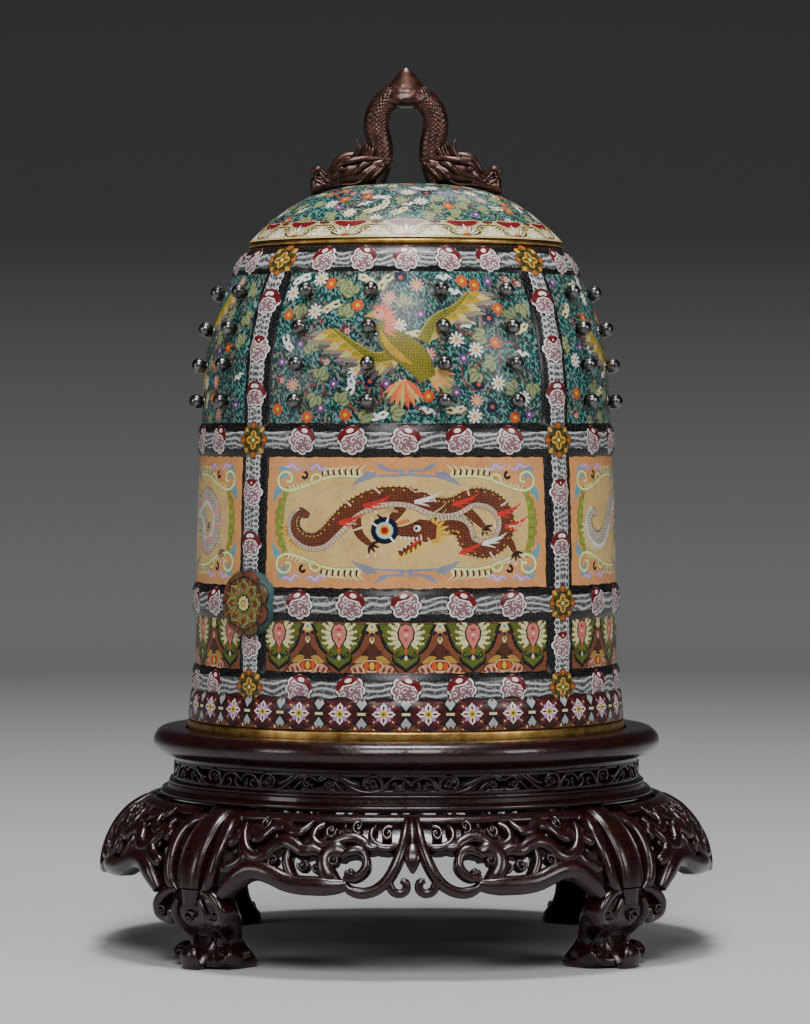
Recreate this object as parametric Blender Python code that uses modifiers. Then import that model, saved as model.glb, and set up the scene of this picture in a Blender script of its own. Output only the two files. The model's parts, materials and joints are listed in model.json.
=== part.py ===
"""A bell-shaped cloisonne vessel with a domed lid, a dragon handle and a carved wood stand.

The origin is on the floor under the middle of the stand, +Z is up and the front faces -Y.
Every size is in metres, worked out from the named millimetre values below.
"""

import math

import bmesh
import bpy
from mathutils import Matrix, Vector

MM = 0.001
GAP = 0.3 * MM
MERGE = 0.00001

# The stand, from the floor up
APRON_CLEARANCE = 37 * MM
SPANDREL_DROP = 6.5 * MM
SPANDREL_ANGLE = math.radians(8)
APRON_HEIGHT = 38 * MM
MOULDING_HEIGHT = 8.5 * MM
WAIST_HEIGHT = 9.5 * MM
COVE_HEIGHT = 3.5 * MM
TOP_THICKNESS = 12 * MM
RECESS_DEPTH = 3 * MM
RECESS_CLEARANCE = 1.2 * MM

# The stand, from the vessel's foot out and down: each piece is placed from the one that it meets
TOP_RIM_WIDTH = 17.3 * MM
TOP_OVERHANG = 10.5 * MM
WAIST_WALL = 5 * MM
MOULDING_LEDGE = 3 * MM
MOULDING_STEP = 4 * MM
MOULDING_SEAT = 4 * MM
SKIRT_SETBACK = 9 * MM
SKIRT_BULGE = 38 * MM
SKIRT_THICKNESS = 9 * MM
LOBES = 8
LOBE_DEPTH = 2.2 * MM
STAND_TURN = math.radians(1.2)
SIDES = 4
LEG_HALF_ANGLE = math.radians(7.4)
STRAP_HALF_WIDTH = 9 * MM
STRAP_RISE = 1.8 * MM
ANKLE_SETBACK = 12 * MM
LEG_DEPTH = 38 * MM
SCROLL_HALF_WIDTH = 25 * MM
WAIST_HOLES = 16
WAIST_HOLE_WIDTH = 26 * MM
WAIST_HOLE_HEIGHT = 5.6 * MM

# The body of the vessel, from its foot up
BASE_RING_HEIGHT = 7.3 * MM
BASE_RING_PROUD = 0.2 * MM
ROUNDEL_BAND_HEIGHT = 15 * MM
ROUNDEL_BAND_RISE = 3.6 * MM
LOW_RIB_OFFSET = 4.7 * MM
RIB_WIDTH = 16.4 * MM
RIB_RISE = 2.1 * MM
LAPPET_PANEL_HEIGHT = 24 * MM
PICTURE_PANEL_HEIGHT = 62.4 * MM
STUD_PANEL_HEIGHT = 72.8 * MM
TOP_RIB_HEIGHT = 13.6 * MM
FOOT_RADIUS = 105.2 * MM
FLANK_DRAW = 3.2 * MM
MOUTH_RADIUS = 78.4 * MM
SHOULDER_POWER = 2.68
FLANK_POWER = 3.5
BODY_WALL = 2.6 * MM

# The metal bosses in rows on the upper panels
STUD_ROWS = 4
STUD_COLUMNS = 4
STUD_RADIUS = 3.7 * MM
STUD_STEM_RADIUS = 1.9 * MM
STUD_ROW_SPACING = 17.4 * MM
STUD_FIRST_ROW = 10.6 * MM
STUD_COLUMN_ANGLE = math.radians(20.4)

# The raised lotus discs on two crossings
BOSS_RADIUS = 16.4 * MM
BOSS_PROUD = 5.6 * MM
BOSS_PETALS = 8

# The lid
LID_RING_HEIGHT = 3 * MM
LID_RING_DEPTH = 3.2 * MM
LID_RISE = 29.4 * MM
LID_POWER = 3.1
LID_WALL = 2.3 * MM
FLANGE_DEPTH = 8 * MM
FLANGE_WALL = 1.6 * MM
FLANGE_CLEARANCE = 0.6 * MM

# The dragon handle
ARCH_RADIUS = 14.8 * MM
ARCH_THICKNESS = 12.2 * MM
ARCH_HEIGHT = 28 * MM
ARCH_PINCH = 2.6 * MM
JEWEL_HEIGHT = 10.5 * MM
JEWEL_RADIUS = 6.6 * MM
ARCH_SPREAD = 3 * MM
HEAD_LENGTH = 37 * MM
HEAD_START = 11 * MM

STUD_SIDES = 5
ROUND_STEPS = 32
LOBED_STEPS = 32
APRON_STEPS = 8

# Heights that follow from the sizes above
SKIRT_TOP = APRON_CLEARANCE + APRON_HEIGHT
MOULDING_TOP = SKIRT_TOP + MOULDING_HEIGHT
WAIST_TOP = MOULDING_TOP + WAIST_HEIGHT
STAND_HEIGHT = WAIST_TOP + COVE_HEIGHT + TOP_THICKNESS
SEAT = STAND_HEIGHT - RECESS_DEPTH
BODY_BOTTOM = SEAT + BASE_RING_HEIGHT
ROUNDEL_TOP = BODY_BOTTOM + ROUNDEL_BAND_HEIGHT
LOW_RIB = ROUNDEL_TOP + LOW_RIB_OFFSET
LOWER_RIB = LOW_RIB + RIB_WIDTH + LAPPET_PANEL_HEIGHT
UPPER_RIB = LOWER_RIB + RIB_WIDTH + PICTURE_PANEL_HEIGHT
STUD_PANEL_BOTTOM = UPPER_RIB + RIB_WIDTH / 2
TOP_RIB = STUD_PANEL_BOTTOM + STUD_PANEL_HEIGHT + TOP_RIB_HEIGHT / 2
MOUTH = TOP_RIB + TOP_RIB_HEIGHT / 2
WAISTLINE = STUD_PANEL_BOTTOM - 4.6 * MM
LID_RING_TOP = MOUTH + LID_RING_HEIGHT
LID_TOP = LID_RING_TOP + LID_RISE

# Radii that follow from the vessel's foot
WAISTLINE_RADIUS = FOOT_RADIUS - FLANK_DRAW
BASE_RING_RADIUS = FOOT_RADIUS + ROUNDEL_BAND_RISE + BASE_RING_PROUD
RECESS_RADIUS = BASE_RING_RADIUS + RECESS_CLEARANCE
TOP_RADIUS = RECESS_RADIUS + TOP_RIM_WIDTH
WAIST_RADIUS = TOP_RADIUS - TOP_OVERHANG
MOULDING_UPPER_RADIUS = WAIST_RADIUS + MOULDING_LEDGE
MOULDING_LOWER_RADIUS = MOULDING_UPPER_RADIUS + MOULDING_STEP
SKIRT_ROOT_RADIUS = MOULDING_LOWER_RADIUS - SKIRT_SETBACK

PARTS = bpy.data.collections.new("cloisonne covered vessel")
CUTTERS = bpy.data.collections.new("cutters")


def clear_scene():
    for thing in list(bpy.data.objects):
        bpy.data.objects.remove(thing, do_unlink=True)
    bpy.context.scene.collection.children.link(PARTS)
    bpy.context.scene.collection.children.link(CUTTERS)


def material(name, colour, roughness, metallic):
    made = bpy.data.materials.new(name)
    made.use_nodes = True
    shader = made.node_tree.nodes["Principled BSDF"]
    shader.inputs["Base Color"].default_value = (*colour, 1)
    shader.inputs["Roughness"].default_value = roughness
    shader.inputs["Metallic"].default_value = metallic
    return made


def add(name, mesh, finish=None):
    """An object in the parts collection, or among the cutters where it has no finish."""
    thing = bpy.data.objects.new(name, mesh)
    if finish is None:
        CUTTERS.objects.link(thing)
        thing.hide_render = True
        thing.display_type = "WIRE"
    else:
        PARTS.objects.link(thing)
        thing.data.materials.clear()
        thing.data.materials.append(finish)
    return thing


def mesh_from(bm, name):
    bmesh.ops.recalc_face_normals(bm, faces=bm.faces)
    mesh = bpy.data.meshes.new(name)
    bm.to_mesh(mesh)
    bm.free()
    return mesh


def baked(thing):
    """The mesh of an object as its modifiers leave it, in place of the object."""
    bpy.context.view_layer.update()
    mesh = bpy.data.meshes.new_from_object(
        thing.evaluated_get(bpy.context.evaluated_depsgraph_get())
    )
    mesh.transform(thing.matrix_world)
    bpy.data.objects.remove(thing, do_unlink=True)
    return mesh


def turned_mesh(name, profile, steps):
    """A profile of (radius, height) points, down its outer side, turned round the Z axis."""
    bm = bmesh.new()
    points = [bm.verts.new((radius, 0, height)) for radius, height in profile]
    for first, second in zip(points, points[1:]):
        bm.edges.new((first, second))
    if profile[0][0] > 0:
        bm.edges.new((points[-1], points[0]))
    mesh = bpy.data.meshes.new(name)
    bm.to_mesh(mesh)
    bm.free()
    thing = add(name, mesh)
    screw = thing.modifiers.new("turn", "SCREW")
    screw.steps = screw.render_steps = steps
    screw.use_merge_vertices = True
    screw.merge_threshold = MERGE
    return baked(thing)


def combine(target, other, operation):
    """Cuts or joins another object's form into the target."""
    modifier = target.modifiers.new(operation.lower(), "BOOLEAN")
    modifier.operation = operation
    modifier.object = other


def smooth(thing, degrees=35):
    thing.data.shade_smooth()
    thing.data.set_sharp_from_angle(angle=math.radians(degrees))


def moved_out(point, azimuth):
    """A point (out, along, up) turned to an azimuth, where 0 faces -Y and 90 degrees faces +X."""
    out, along, up = point
    sine, cosine = math.sin(azimuth), math.cos(azimuth)
    return Vector((out * sine + along * cosine, -out * cosine + along * sine, up))


def azimuth_of(x, y):
    return math.atan2(x, -y)


# The wall of the bell
def wall_radius(z):
    """The outer radius of the plain wall, without its bands."""
    if z <= WAISTLINE:
        share = max(0.0, (z - BODY_BOTTOM) / (WAISTLINE - BODY_BOTTOM))
        return FOOT_RADIUS - (FOOT_RADIUS - WAISTLINE_RADIUS) * share**FLANK_POWER
    share = (z - WAISTLINE) / (MOUTH - WAISTLINE)
    return WAISTLINE_RADIUS - (WAISTLINE_RADIUS - MOUTH_RADIUS) * share**SHOULDER_POWER


def rib_points(centre, half_height):
    """The outer profile across one level band, from its upper edge to its lower edge."""
    shares = (1.0, 0.5, -0.5, -1.0)
    return [
        (wall_radius(centre + s * half_height) + RIB_RISE * (1 - s * s), centre + s * half_height)
        for s in shares
    ]


def bell_profile(inflate=0.0):
    """The outer profile of the body from the mouth down to the foot."""
    points = rib_points(TOP_RIB, TOP_RIB_HEIGHT / 2)
    panel_top = TOP_RIB - TOP_RIB_HEIGHT / 2
    for share in (0.3, 0.65):
        z = panel_top - share * STUD_PANEL_HEIGHT
        points.append((wall_radius(z), z))
    points += rib_points(UPPER_RIB, RIB_WIDTH / 2)
    middle = UPPER_RIB - RIB_WIDTH / 2 - PICTURE_PANEL_HEIGHT / 2
    points.append((wall_radius(middle), middle))
    points += rib_points(LOWER_RIB, RIB_WIDTH / 2)
    points += rib_points(LOW_RIB, RIB_WIDTH / 2)[:2]
    bulge = FOOT_RADIUS + ROUNDEL_BAND_RISE
    points += [
        (FOOT_RADIUS + ROUNDEL_BAND_RISE / 2, ROUNDEL_TOP),
        (bulge - 0.4 * MM, ROUNDEL_TOP - ROUNDEL_BAND_HEIGHT * 0.16),
        (bulge, ROUNDEL_TOP - ROUNDEL_BAND_HEIGHT * 0.4),
        (bulge, BODY_BOTTOM + GAP),
    ]
    return [(radius + inflate, z) for radius, z in points]


def bell_form(name, inflate=0.0):
    """The whole outside of the body as one solid block, with its upright bands."""
    profile = bell_profile(inflate)
    top, bottom = profile[0][1] + inflate, profile[-1][1]
    seat_radius = FOOT_RADIUS - 2 * BODY_WALL
    outline = [(0, top), (profile[0][0], top)] + profile[1:]
    outline += [(seat_radius, bottom), (seat_radius, SEAT + GAP), (0, SEAT + GAP)]
    form = add(name, turned_mesh(name, outline, ROUND_STEPS))
    for side in range(SIDES):
        rib = upright_rib(f"{name} rib {side}", (side + 0.5) * 2 * math.pi / SIDES, inflate)
        combine(form, rib, "UNION")
    return form


def upright_rib(name, azimuth, inflate):
    """One upright band: a strip with a rounded face that follows the wall of the bell."""
    stations = 9
    low, high = LOW_RIB, TOP_RIB
    across = (-1.0, -0.6, 0.0, 0.6, 1.0)
    half = RIB_WIDTH / 2 + inflate
    bm = bmesh.new()
    loops = []
    for i in range(stations):
        z = low + (high - low) * i / (stations - 1)
        radius = wall_radius(z)
        face = [
            (radius - (1 - math.cos(half * s / radius)) * radius + (RIB_RISE + inflate) * (1 - s * s), s)
            for s in across
        ]
        face[0] = (face[0][0] - BODY_WALL / 4, -1.0)
        face[-1] = (face[-1][0] - BODY_WALL / 4, 1.0)
        back = [(radius - BODY_WALL / 2, 0.6), (radius - BODY_WALL / 2, -0.6)]
        loops.append(
            [bm.verts.new(moved_out((out, half * s, z), azimuth)) for out, s in face + back]
        )
    for lower, upper in zip(loops, loops[1:]):
        for j in range(len(lower)):
            k = (j + 1) % len(lower)
            bm.faces.new((lower[j], lower[k], upper[k], upper[j]))
    bm.faces.new(loops[0])
    bm.faces.new(loops[-1])
    return add(name, mesh_from(bm, name))


def bell_inside():
    """The empty space in the body, open at the mouth."""
    mouth_radius = MOUTH_RADIUS - BODY_WALL - 1.2 * MM
    floor = SEAT + GAP + 2 * BODY_WALL
    heights = [MOUTH - share * (MOUTH - WAISTLINE) for share in (0.12, 0.3, 0.55, 1.0)]
    outline = [(0, MOUTH + FLANGE_DEPTH), (mouth_radius, MOUTH + FLANGE_DEPTH)]
    outline.append((mouth_radius, MOUTH - 3 * MM))
    outline += [(wall_radius(z) - BODY_WALL, z) for z in heights[1:]]
    outline += [(FOOT_RADIUS - BODY_WALL, ROUNDEL_TOP), (FOOT_RADIUS - 3 * BODY_WALL, floor), (0, floor)]
    return add("bell inside", turned_mesh("bell inside", outline, ROUND_STEPS))


def stud_mesh():
    """All the ball-headed bosses as one mesh of separate buds, on every side of the bell."""
    outline = [
        (-BODY_WALL / 2, STUD_STEM_RADIUS),
        (STUD_RADIUS, STUD_RADIUS),
    ]
    corners = STUD_SIDES
    bm = bmesh.new()
    for side in range(SIDES):
        for column in range(STUD_COLUMNS):
            spread = (column - (STUD_COLUMNS - 1) / 2) * STUD_COLUMN_ANGLE
            azimuth = side * 2 * math.pi / SIDES + spread
            for row in range(STUD_ROWS):
                z = STUD_PANEL_BOTTOM + STUD_FIRST_ROW + row * STUD_ROW_SPACING
                slope = (wall_radius(z + MM) - wall_radius(z - MM)) / (2 * MM)
                out = moved_out((1, 0, -slope), azimuth).normalized()
                root = moved_out((wall_radius(z), 0, z), azimuth)
                side_way = moved_out((0, 1, 0), azimuth)
                up_way = out.cross(side_way)
                loops = []
                for height, radius in outline:
                    ring = []
                    for corner in range(corners):
                        turn = 2 * math.pi * corner / corners
                        around = side_way * math.cos(turn) + up_way * math.sin(turn)
                        ring.append(bm.verts.new(root + out * height + around * radius))
                    loops.append(ring)
                tip = bm.verts.new(root + out * STUD_RADIUS * 1.96)
                bm.faces.new(loops[0])
                for j in range(corners):
                    k = (j + 1) % corners
                    for lower, upper in zip(loops, loops[1:]):
                        bm.faces.new((lower[j], lower[k], upper[k], upper[j]))
                    bm.faces.new((loops[-1][j], loops[-1][k], tip))
    return mesh_from(bm, "studs")


def vessel_body(enamel):
    form = bell_form("bell outside")
    combine(form, bell_inside(), "DIFFERENCE")
    combine(form, add("studs", stud_mesh()), "UNION")
    body = add("vessel_body", baked(form), enamel)
    smooth(body)


def base_ring(gilt):
    """The gilt ring round the foot: it carries the lowest band and stands in the stand's recess."""
    outer = BASE_RING_RADIUS
    inner = FOOT_RADIUS - 2 * BODY_WALL + GAP
    soft = 0.8 * MM
    outline = [
        (inner, BODY_BOTTOM),
        (outer - soft, BODY_BOTTOM),
        (outer, BODY_BOTTOM - soft),
        (outer, SEAT + GAP),
        (inner, SEAT + GAP),
    ]
    ring = add("base_ring", turned_mesh("base_ring", outline, ROUND_STEPS), gilt)
    smooth(ring)


def lotus_boss(name, azimuth, enamel, bell):
    """A raised disc with a scalloped edge, its back fitted to the bell behind it."""
    points = BOSS_PETALS * 3
    front = wall_radius(LOWER_RIB) + BOSS_PROUD
    bm = bmesh.new()
    loops = []
    for depth, scale in ((-BOSS_PROUD - RIB_RISE, 1.0), (-1.6 * MM, 1.0), (-0.5 * MM, 0.9), (0.2 * MM, 0.45)):
        ring = []
        for i in range(points):
            turn = 2 * math.pi * i / points
            petal = abs(math.sin(turn * BOSS_PETALS / 2))
            radius = BOSS_RADIUS * scale * (0.93 + 0.07 * petal)
            along, up = radius * math.cos(turn), radius * math.sin(turn)
            ring.append(bm.verts.new(moved_out((front + depth, along, LOWER_RIB + up), azimuth)))
        loops.append(ring)
    bm.faces.new(loops[0])
    bm.faces.new(loops[-1])
    for lower, upper in zip(loops, loops[1:]):
        for j in range(points):
            k = (j + 1) % points
            bm.faces.new((lower[j], lower[k], upper[k], upper[j]))
    disc = add(name + " disc", mesh_from(bm, name))
    combine(disc, bell, "DIFFERENCE")
    boss = add(name, baked(disc), enamel)
    smooth(boss)


# The lid
def lid_height(radius, inset=0.0):
    """The height of the lid's outside over a radius, or of a surface inset below it."""
    rim = MOUTH_RADIUS - inset
    share = min(1.0, radius / rim)
    return LID_RING_TOP + GAP + (LID_RISE - inset) * (1 - share**LID_POWER)


def lid_outline(inset, steps=8):
    rim = MOUTH_RADIUS - inset
    radii = [rim * math.sin(math.pi / 2 * i / steps) for i in range(steps + 1)]
    return [(radius, lid_height(radius, inset)) for radius in radii]


def lid_dome(enamel):
    mouth_radius = MOUTH_RADIUS - BODY_WALL - 1.2 * MM
    flange_outer = mouth_radius - FLANGE_CLEARANCE
    flange_inner = flange_outer - FLANGE_WALL
    outside = lid_outline(0.0)
    inside = [p for p in reversed(lid_outline(LID_WALL, 5)) if p[0] < flange_inner - MM]
    outline = outside + [
        (flange_outer, LID_RING_TOP + GAP),
        (flange_outer, MOUTH - FLANGE_DEPTH),
        (flange_inner, MOUTH - FLANGE_DEPTH),
        (flange_inner, lid_height(flange_inner, LID_WALL)),
    ]
    outline += inside
    lid = add("lid_dome", turned_mesh("lid_dome", outline, ROUND_STEPS), enamel)
    smooth(lid)


def lid_ring(gilt):
    inner = MOUTH_RADIUS - LID_RING_DEPTH
    outer = MOUTH_RADIUS + 0.2 * MM
    soft = LID_RING_HEIGHT * 0.3
    outline = [
        (inner, LID_RING_TOP),
        (outer - soft, LID_RING_TOP),
        (outer, LID_RING_TOP - soft),
        (outer, MOUTH + GAP + soft),
        (outer - soft, MOUTH + GAP),
        (inner, MOUTH + GAP),
    ]
    ring = add("lid_ring", turned_mesh("lid_ring", outline, ROUND_STEPS), gilt)
    smooth(ring)


# The handle
def arch_path():
    """The centre line of the arch from one nape up over the top and down to the other."""
    foot = LID_TOP + 2 * MM
    spring = foot + ARCH_HEIGHT
    steps = 8
    sway = (ARCH_SPREAD, -0.6 * ARCH_PINCH, -ARCH_PINCH, -0.6 * ARCH_PINCH)
    left = [
        (-(ARCH_RADIUS + shift), 0, foot + (spring - foot) * i / len(sway))
        for i, shift in enumerate(sway)
    ]
    over = []
    for i in range(steps + 1):
        turn = math.pi - math.pi * i / steps
        over.append((ARCH_RADIUS * math.cos(turn), 0, spring + ARCH_RADIUS * math.sin(turn)))
    right = [(-x, y, z) for x, y, z in reversed(left)]
    return left + over + right


def tube_mesh(name, points, radius):
    """A tube with closed ends along a list of points, as a mesh whose caps are joined on."""
    data = bpy.data.curves.new(name, "CURVE")
    data.dimensions = "3D"
    data.bevel_depth = radius
    data.bevel_resolution = 2
    data.use_fill_caps = True
    spline = data.splines.new("POLY")
    spline.points.add(len(points) - 1)
    for spot, point in zip(spline.points, points):
        spot.co = (*point, 1)
    thing = bpy.data.objects.new(name, data)
    CUTTERS.objects.link(thing)
    mesh = baked(thing)
    bm = bmesh.new()
    bm.from_mesh(mesh)
    bmesh.ops.remove_doubles(bm, verts=bm.verts, dist=MERGE)
    return mesh_from(bm, name)


def jewel_mesh():
    """The pointed flame jewel over the arch."""
    base = LID_TOP + 2 * MM + ARCH_HEIGHT + ARCH_RADIUS + ARCH_THICKNESS / 2 - 3 * MM
    outline = [
        (0, base + JEWEL_HEIGHT),
        (JEWEL_RADIUS * 0.5, base + JEWEL_HEIGHT * 0.72),
        (JEWEL_RADIUS, base + JEWEL_HEIGHT * 0.25),
        (JEWEL_RADIUS * 1.1, base - 2 * MM),
        (0, base - 3 * MM),
    ]
    return turned_mesh("jewel", outline, 8)


def head_sections():
    """The dragon head along its length: (share of length, lower, upper, half width), in mm."""
    return (
        (0.00, -1.0, 16.0, 6.5),
        (0.16, -2.5, 17.5, 8.5),
        (0.32, -3.5, 16.0, 9.5),
        (0.50, -3.5, 15.5, 9.0),
        (0.66, -3.5, 13.5, 7.5),
        (0.72, -3.5, 9.0, 6.8),
        (0.84, -3.5, 6.5, 6.5),
        (0.92, -3.5, 10.5, 6.3),
        (1.00, -3.0, 10.5, 5.0),
    )


def head_mesh(side):
    """One dragon head, lofted from the nape to the upturned nose; side is -1 or 1."""
    base = LID_TOP
    drop = 2.6 * MM
    around = ((0.0, 1.0), (0.75, 0.8), (1.0, 0.35), (0.9, 0.0), (0.0, -0.02))
    bm = bmesh.new()
    loops = []
    for share, low, high, half in head_sections():
        x = side * (HEAD_START + HEAD_LENGTH * share)
        sag = drop * max(0.0, share)
        ring = []
        for y_share, z_share in around:
            z = base - sag + (low + (high - low) * z_share) * MM
            ring.append((x, y_share * half * MM, z))
        ring += [(x, -y, z) for x, y, z in reversed(ring[1:-1])]
        loops.append([bm.verts.new(p) for p in ring])
    for lower, upper in zip(loops, loops[1:]):
        for j in range(len(lower)):
            k = (j + 1) % len(lower)
            bm.faces.new((lower[j], lower[k], upper[k], upper[j]))
    bm.faces.new(loops[0])
    bm.faces.new(loops[-1])
    return mesh_from(bm, "head")


def horn_mesh(side, y_side):
    """A swept-back horn or ear behind the brow."""
    base = LID_TOP
    points = (
        (side * (HEAD_START + HEAD_LENGTH * 0.50), y_side * 5 * MM, base + 12 * MM, 2.6 * MM),
        (side * (HEAD_START + HEAD_LENGTH * 0.36), y_side * 6.5 * MM, base + 17 * MM, 2.0 * MM),
        (side * (HEAD_START + HEAD_LENGTH * 0.38), y_side * 7 * MM, base + 23 * MM, 0.7 * MM),
    )
    corners = 5
    bm = bmesh.new()
    loops = []
    for x, y, z, radius in points:
        ring = []
        for i in range(corners):
            turn = 2 * math.pi * i / corners
            ring.append(bm.verts.new((x + radius * math.cos(turn), y + radius * math.sin(turn), z)))
        loops.append(ring)
    for lower, upper in zip(loops, loops[1:]):
        for j in range(corners):
            k = (j + 1) % corners
            bm.faces.new((lower[j], lower[k], upper[k], upper[j]))
    bm.faces.new(loops[0])
    bm.faces.new(loops[-1])
    return mesh_from(bm, "horn")


def dragon_handle(bronze):
    form = add("handle", tube_mesh("arch", arch_path(), ARCH_THICKNESS / 2))
    combine(form, add("jewel", jewel_mesh()), "UNION")
    for side in (-1, 1):
        combine(form, add(f"head {side}", head_mesh(side)), "UNION")
        for y_side in (-1, 1):
            combine(form, add(f"horn {side} {y_side}", horn_mesh(side, y_side)), "UNION")
    seat = [(radius, z + GAP) for radius, z in lid_outline(0.0)]
    seat += [(MOUTH_RADIUS, MOUTH), (0, MOUTH)]
    combine(form, add("lid seat", turned_mesh("lid seat", seat, ROUND_STEPS)), "DIFFERENCE")
    handle = add("dragon_handle", baked(form), bronze)
    smooth(handle)


# The stand
def lobe_inset(azimuth):
    """How far a lobed outline draws in: most at the cusps between its lobes."""
    share = abs(math.sin((azimuth - STAND_TURN) * LOBES / 2))
    return LOBE_DEPTH * (1 - share**0.6)


def lobed(mesh, inner_radius):
    """Draws the outer side of a turned mesh into shallow lobes, and leaves what is inside a radius."""
    for vertex in mesh.vertices:
        x, y, z = vertex.co
        radius = math.hypot(x, y)
        if radius > inner_radius:
            scale = (radius - lobe_inset(azimuth_of(x, y))) / radius
            vertex.co = (x * scale, y * scale, z)
    return mesh


def turned_to_stand(mesh):
    mesh.transform(Matrix.Rotation(STAND_TURN, 4, "Z"))
    return mesh


def stand_top(wood):
    edge = TOP_THICKNESS / 2
    recess = RECESS_RADIUS
    bottom = STAND_HEIGHT - TOP_THICKNESS
    outline = [
        (0, SEAT),
        (recess, SEAT),
        (recess, STAND_HEIGHT),
        (TOP_RADIUS - edge * 1.1, STAND_HEIGHT),
        (TOP_RADIUS - edge * 0.3, STAND_HEIGHT - edge * 0.35),
        (TOP_RADIUS, STAND_HEIGHT - edge),
        (TOP_RADIUS - edge * 0.3, STAND_HEIGHT - edge * 1.65),
        (WAIST_RADIUS + 4 * MM, bottom),
        (WAIST_RADIUS, WAIST_TOP + GAP),
        (0, WAIST_TOP + GAP),
    ]
    mesh = turned_to_stand(turned_mesh("stand_top", outline, LOBED_STEPS))
    top = add("stand_top", lobed(mesh, recess + 0.5 * MM), wood)
    smooth(top)


def wedge_hole(name, azimuth, half_angle, low, high, inner, outer, corners=8, tilt=0.0):
    """A cutter that widens outwards like a slice, with an oval face seen along the radius."""
    bm = bmesh.new()
    loops = []
    for radius in (inner, outer):
        ring = []
        for i in range(corners):
            turn = 2 * math.pi * (i + 0.5) / corners
            across, up = math.cos(turn), math.sin(turn)
            z = (low + high) / 2 + up * (high - low) / 2 + across * tilt
            angle = azimuth + across * half_angle
            ring.append(bm.verts.new(moved_out((radius, 0, z), angle)))
        loops.append(ring)
    for j in range(corners):
        k = (j + 1) % corners
        bm.faces.new((loops[0][j], loops[0][k], loops[1][k], loops[1][j]))
    bm.faces.new(loops[0])
    bm.faces.new(loops[1])
    return add(name, mesh_from(bm, name))


def stand_waist(wood):
    inner = WAIST_RADIUS - WAIST_WALL
    outline = [
        (inner, WAIST_TOP),
        (WAIST_RADIUS, WAIST_TOP),
        (WAIST_RADIUS, MOULDING_TOP + GAP),
        (inner, MOULDING_TOP + GAP),
    ]
    mesh = lobed(turned_to_stand(turned_mesh("waist", outline, LOBED_STEPS)), inner / 2)
    wall = add("waist wall", mesh)
    middle = (MOULDING_TOP + WAIST_TOP) / 2
    half_angle = WAIST_HOLE_WIDTH / WAIST_RADIUS / 2
    for i in range(WAIST_HOLES):
        azimuth = STAND_TURN + (i + 0.5) * 2 * math.pi / WAIST_HOLES
        low, high = middle - WAIST_HOLE_HEIGHT / 2, middle + WAIST_HOLE_HEIGHT / 2
        hole = wedge_hole(
            f"waist hole {i}", azimuth, half_angle, low, high, inner / 2, WAIST_RADIUS * 1.1, 6
        )
        combine(wall, hole, "DIFFERENCE")
    waist = add("stand_waist", baked(wall), wood)
    smooth(waist)


def stand_moulding(wood):
    inner = WAIST_RADIUS - WAIST_WALL - MOULDING_SEAT
    step = MOULDING_TOP - MOULDING_HEIGHT * 0.5
    outline = [
        (inner, MOULDING_TOP),
        (MOULDING_UPPER_RADIUS - MM, MOULDING_TOP),
        (MOULDING_UPPER_RADIUS, MOULDING_TOP - MM),
        (MOULDING_UPPER_RADIUS, step),
        (MOULDING_LOWER_RADIUS, step - MM),
        (MOULDING_LOWER_RADIUS, SKIRT_TOP + GAP),
        (inner, SKIRT_TOP + GAP),
    ]
    mesh = turned_to_stand(turned_mesh("stand_moulding", outline, LOBED_STEPS))
    moulding = add("stand_moulding", lobed(mesh, inner / 2), wood)
    smooth(moulding)


def skirt_section(drop=0.0):
    """The section of the skirt, out and down its bulging face and back up its inner face."""
    rise = APRON_HEIGHT
    knee = APRON_CLEARANCE + 2 * MM
    start = math.acos((SKIRT_TOP - knee) / rise)
    turns = [start + (math.pi / 2 - start) * share for share in (0.0, 0.3, 0.62, 1.0)]
    root = SKIRT_ROOT_RADIUS
    outer = [(root + SKIRT_BULGE * math.sin(a), knee + rise * math.cos(a)) for a in turns]
    inner = [
        (
            root + (SKIRT_BULGE - SKIRT_THICKNESS) * math.sin(a),
            knee + (rise - SKIRT_THICKNESS * 0.75) * math.cos(a),
        )
        for a in turns
    ]
    return (
        [(root - MM, SKIRT_TOP)]
        + outer
        + [(outer[-1][0] - 0.5 * MM - drop * 0.1, APRON_CLEARANCE - drop)]
        + [(inner[-1][0] - drop * 0.1, APRON_CLEARANCE - drop)]
        + list(reversed(inner))
        + [(root - MM, inner[0][1])]
    )


def spandrel(from_end):
    """How far the apron's lower edge drops beside a leg, in a hollow curve."""
    share = max(0.0, 1 - from_end / SPANDREL_ANGLE)
    return SPANDREL_DROP * (1 - math.sqrt(1 - share * share))


# Pierced openings of one half of an apron: degrees from its middle, share of its height,
# width in degrees, height in mm and slant in mm
APRON_OPENINGS = (
    (0.0, 0.22, 7.0, 12.0, 0.0),
    (10.5, 0.24, 5.6, 8.0, 2.5),
    (10.5, 0.66, 9.0, 9.0, -1.5),
    (22.0, 0.62, 8.6, 10.0, 1.5),
    (21.0, 0.22, 9.0, 7.0, 1.5),
    (31.4, 0.48, 4.4, 17.0, 1.0),
)


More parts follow.
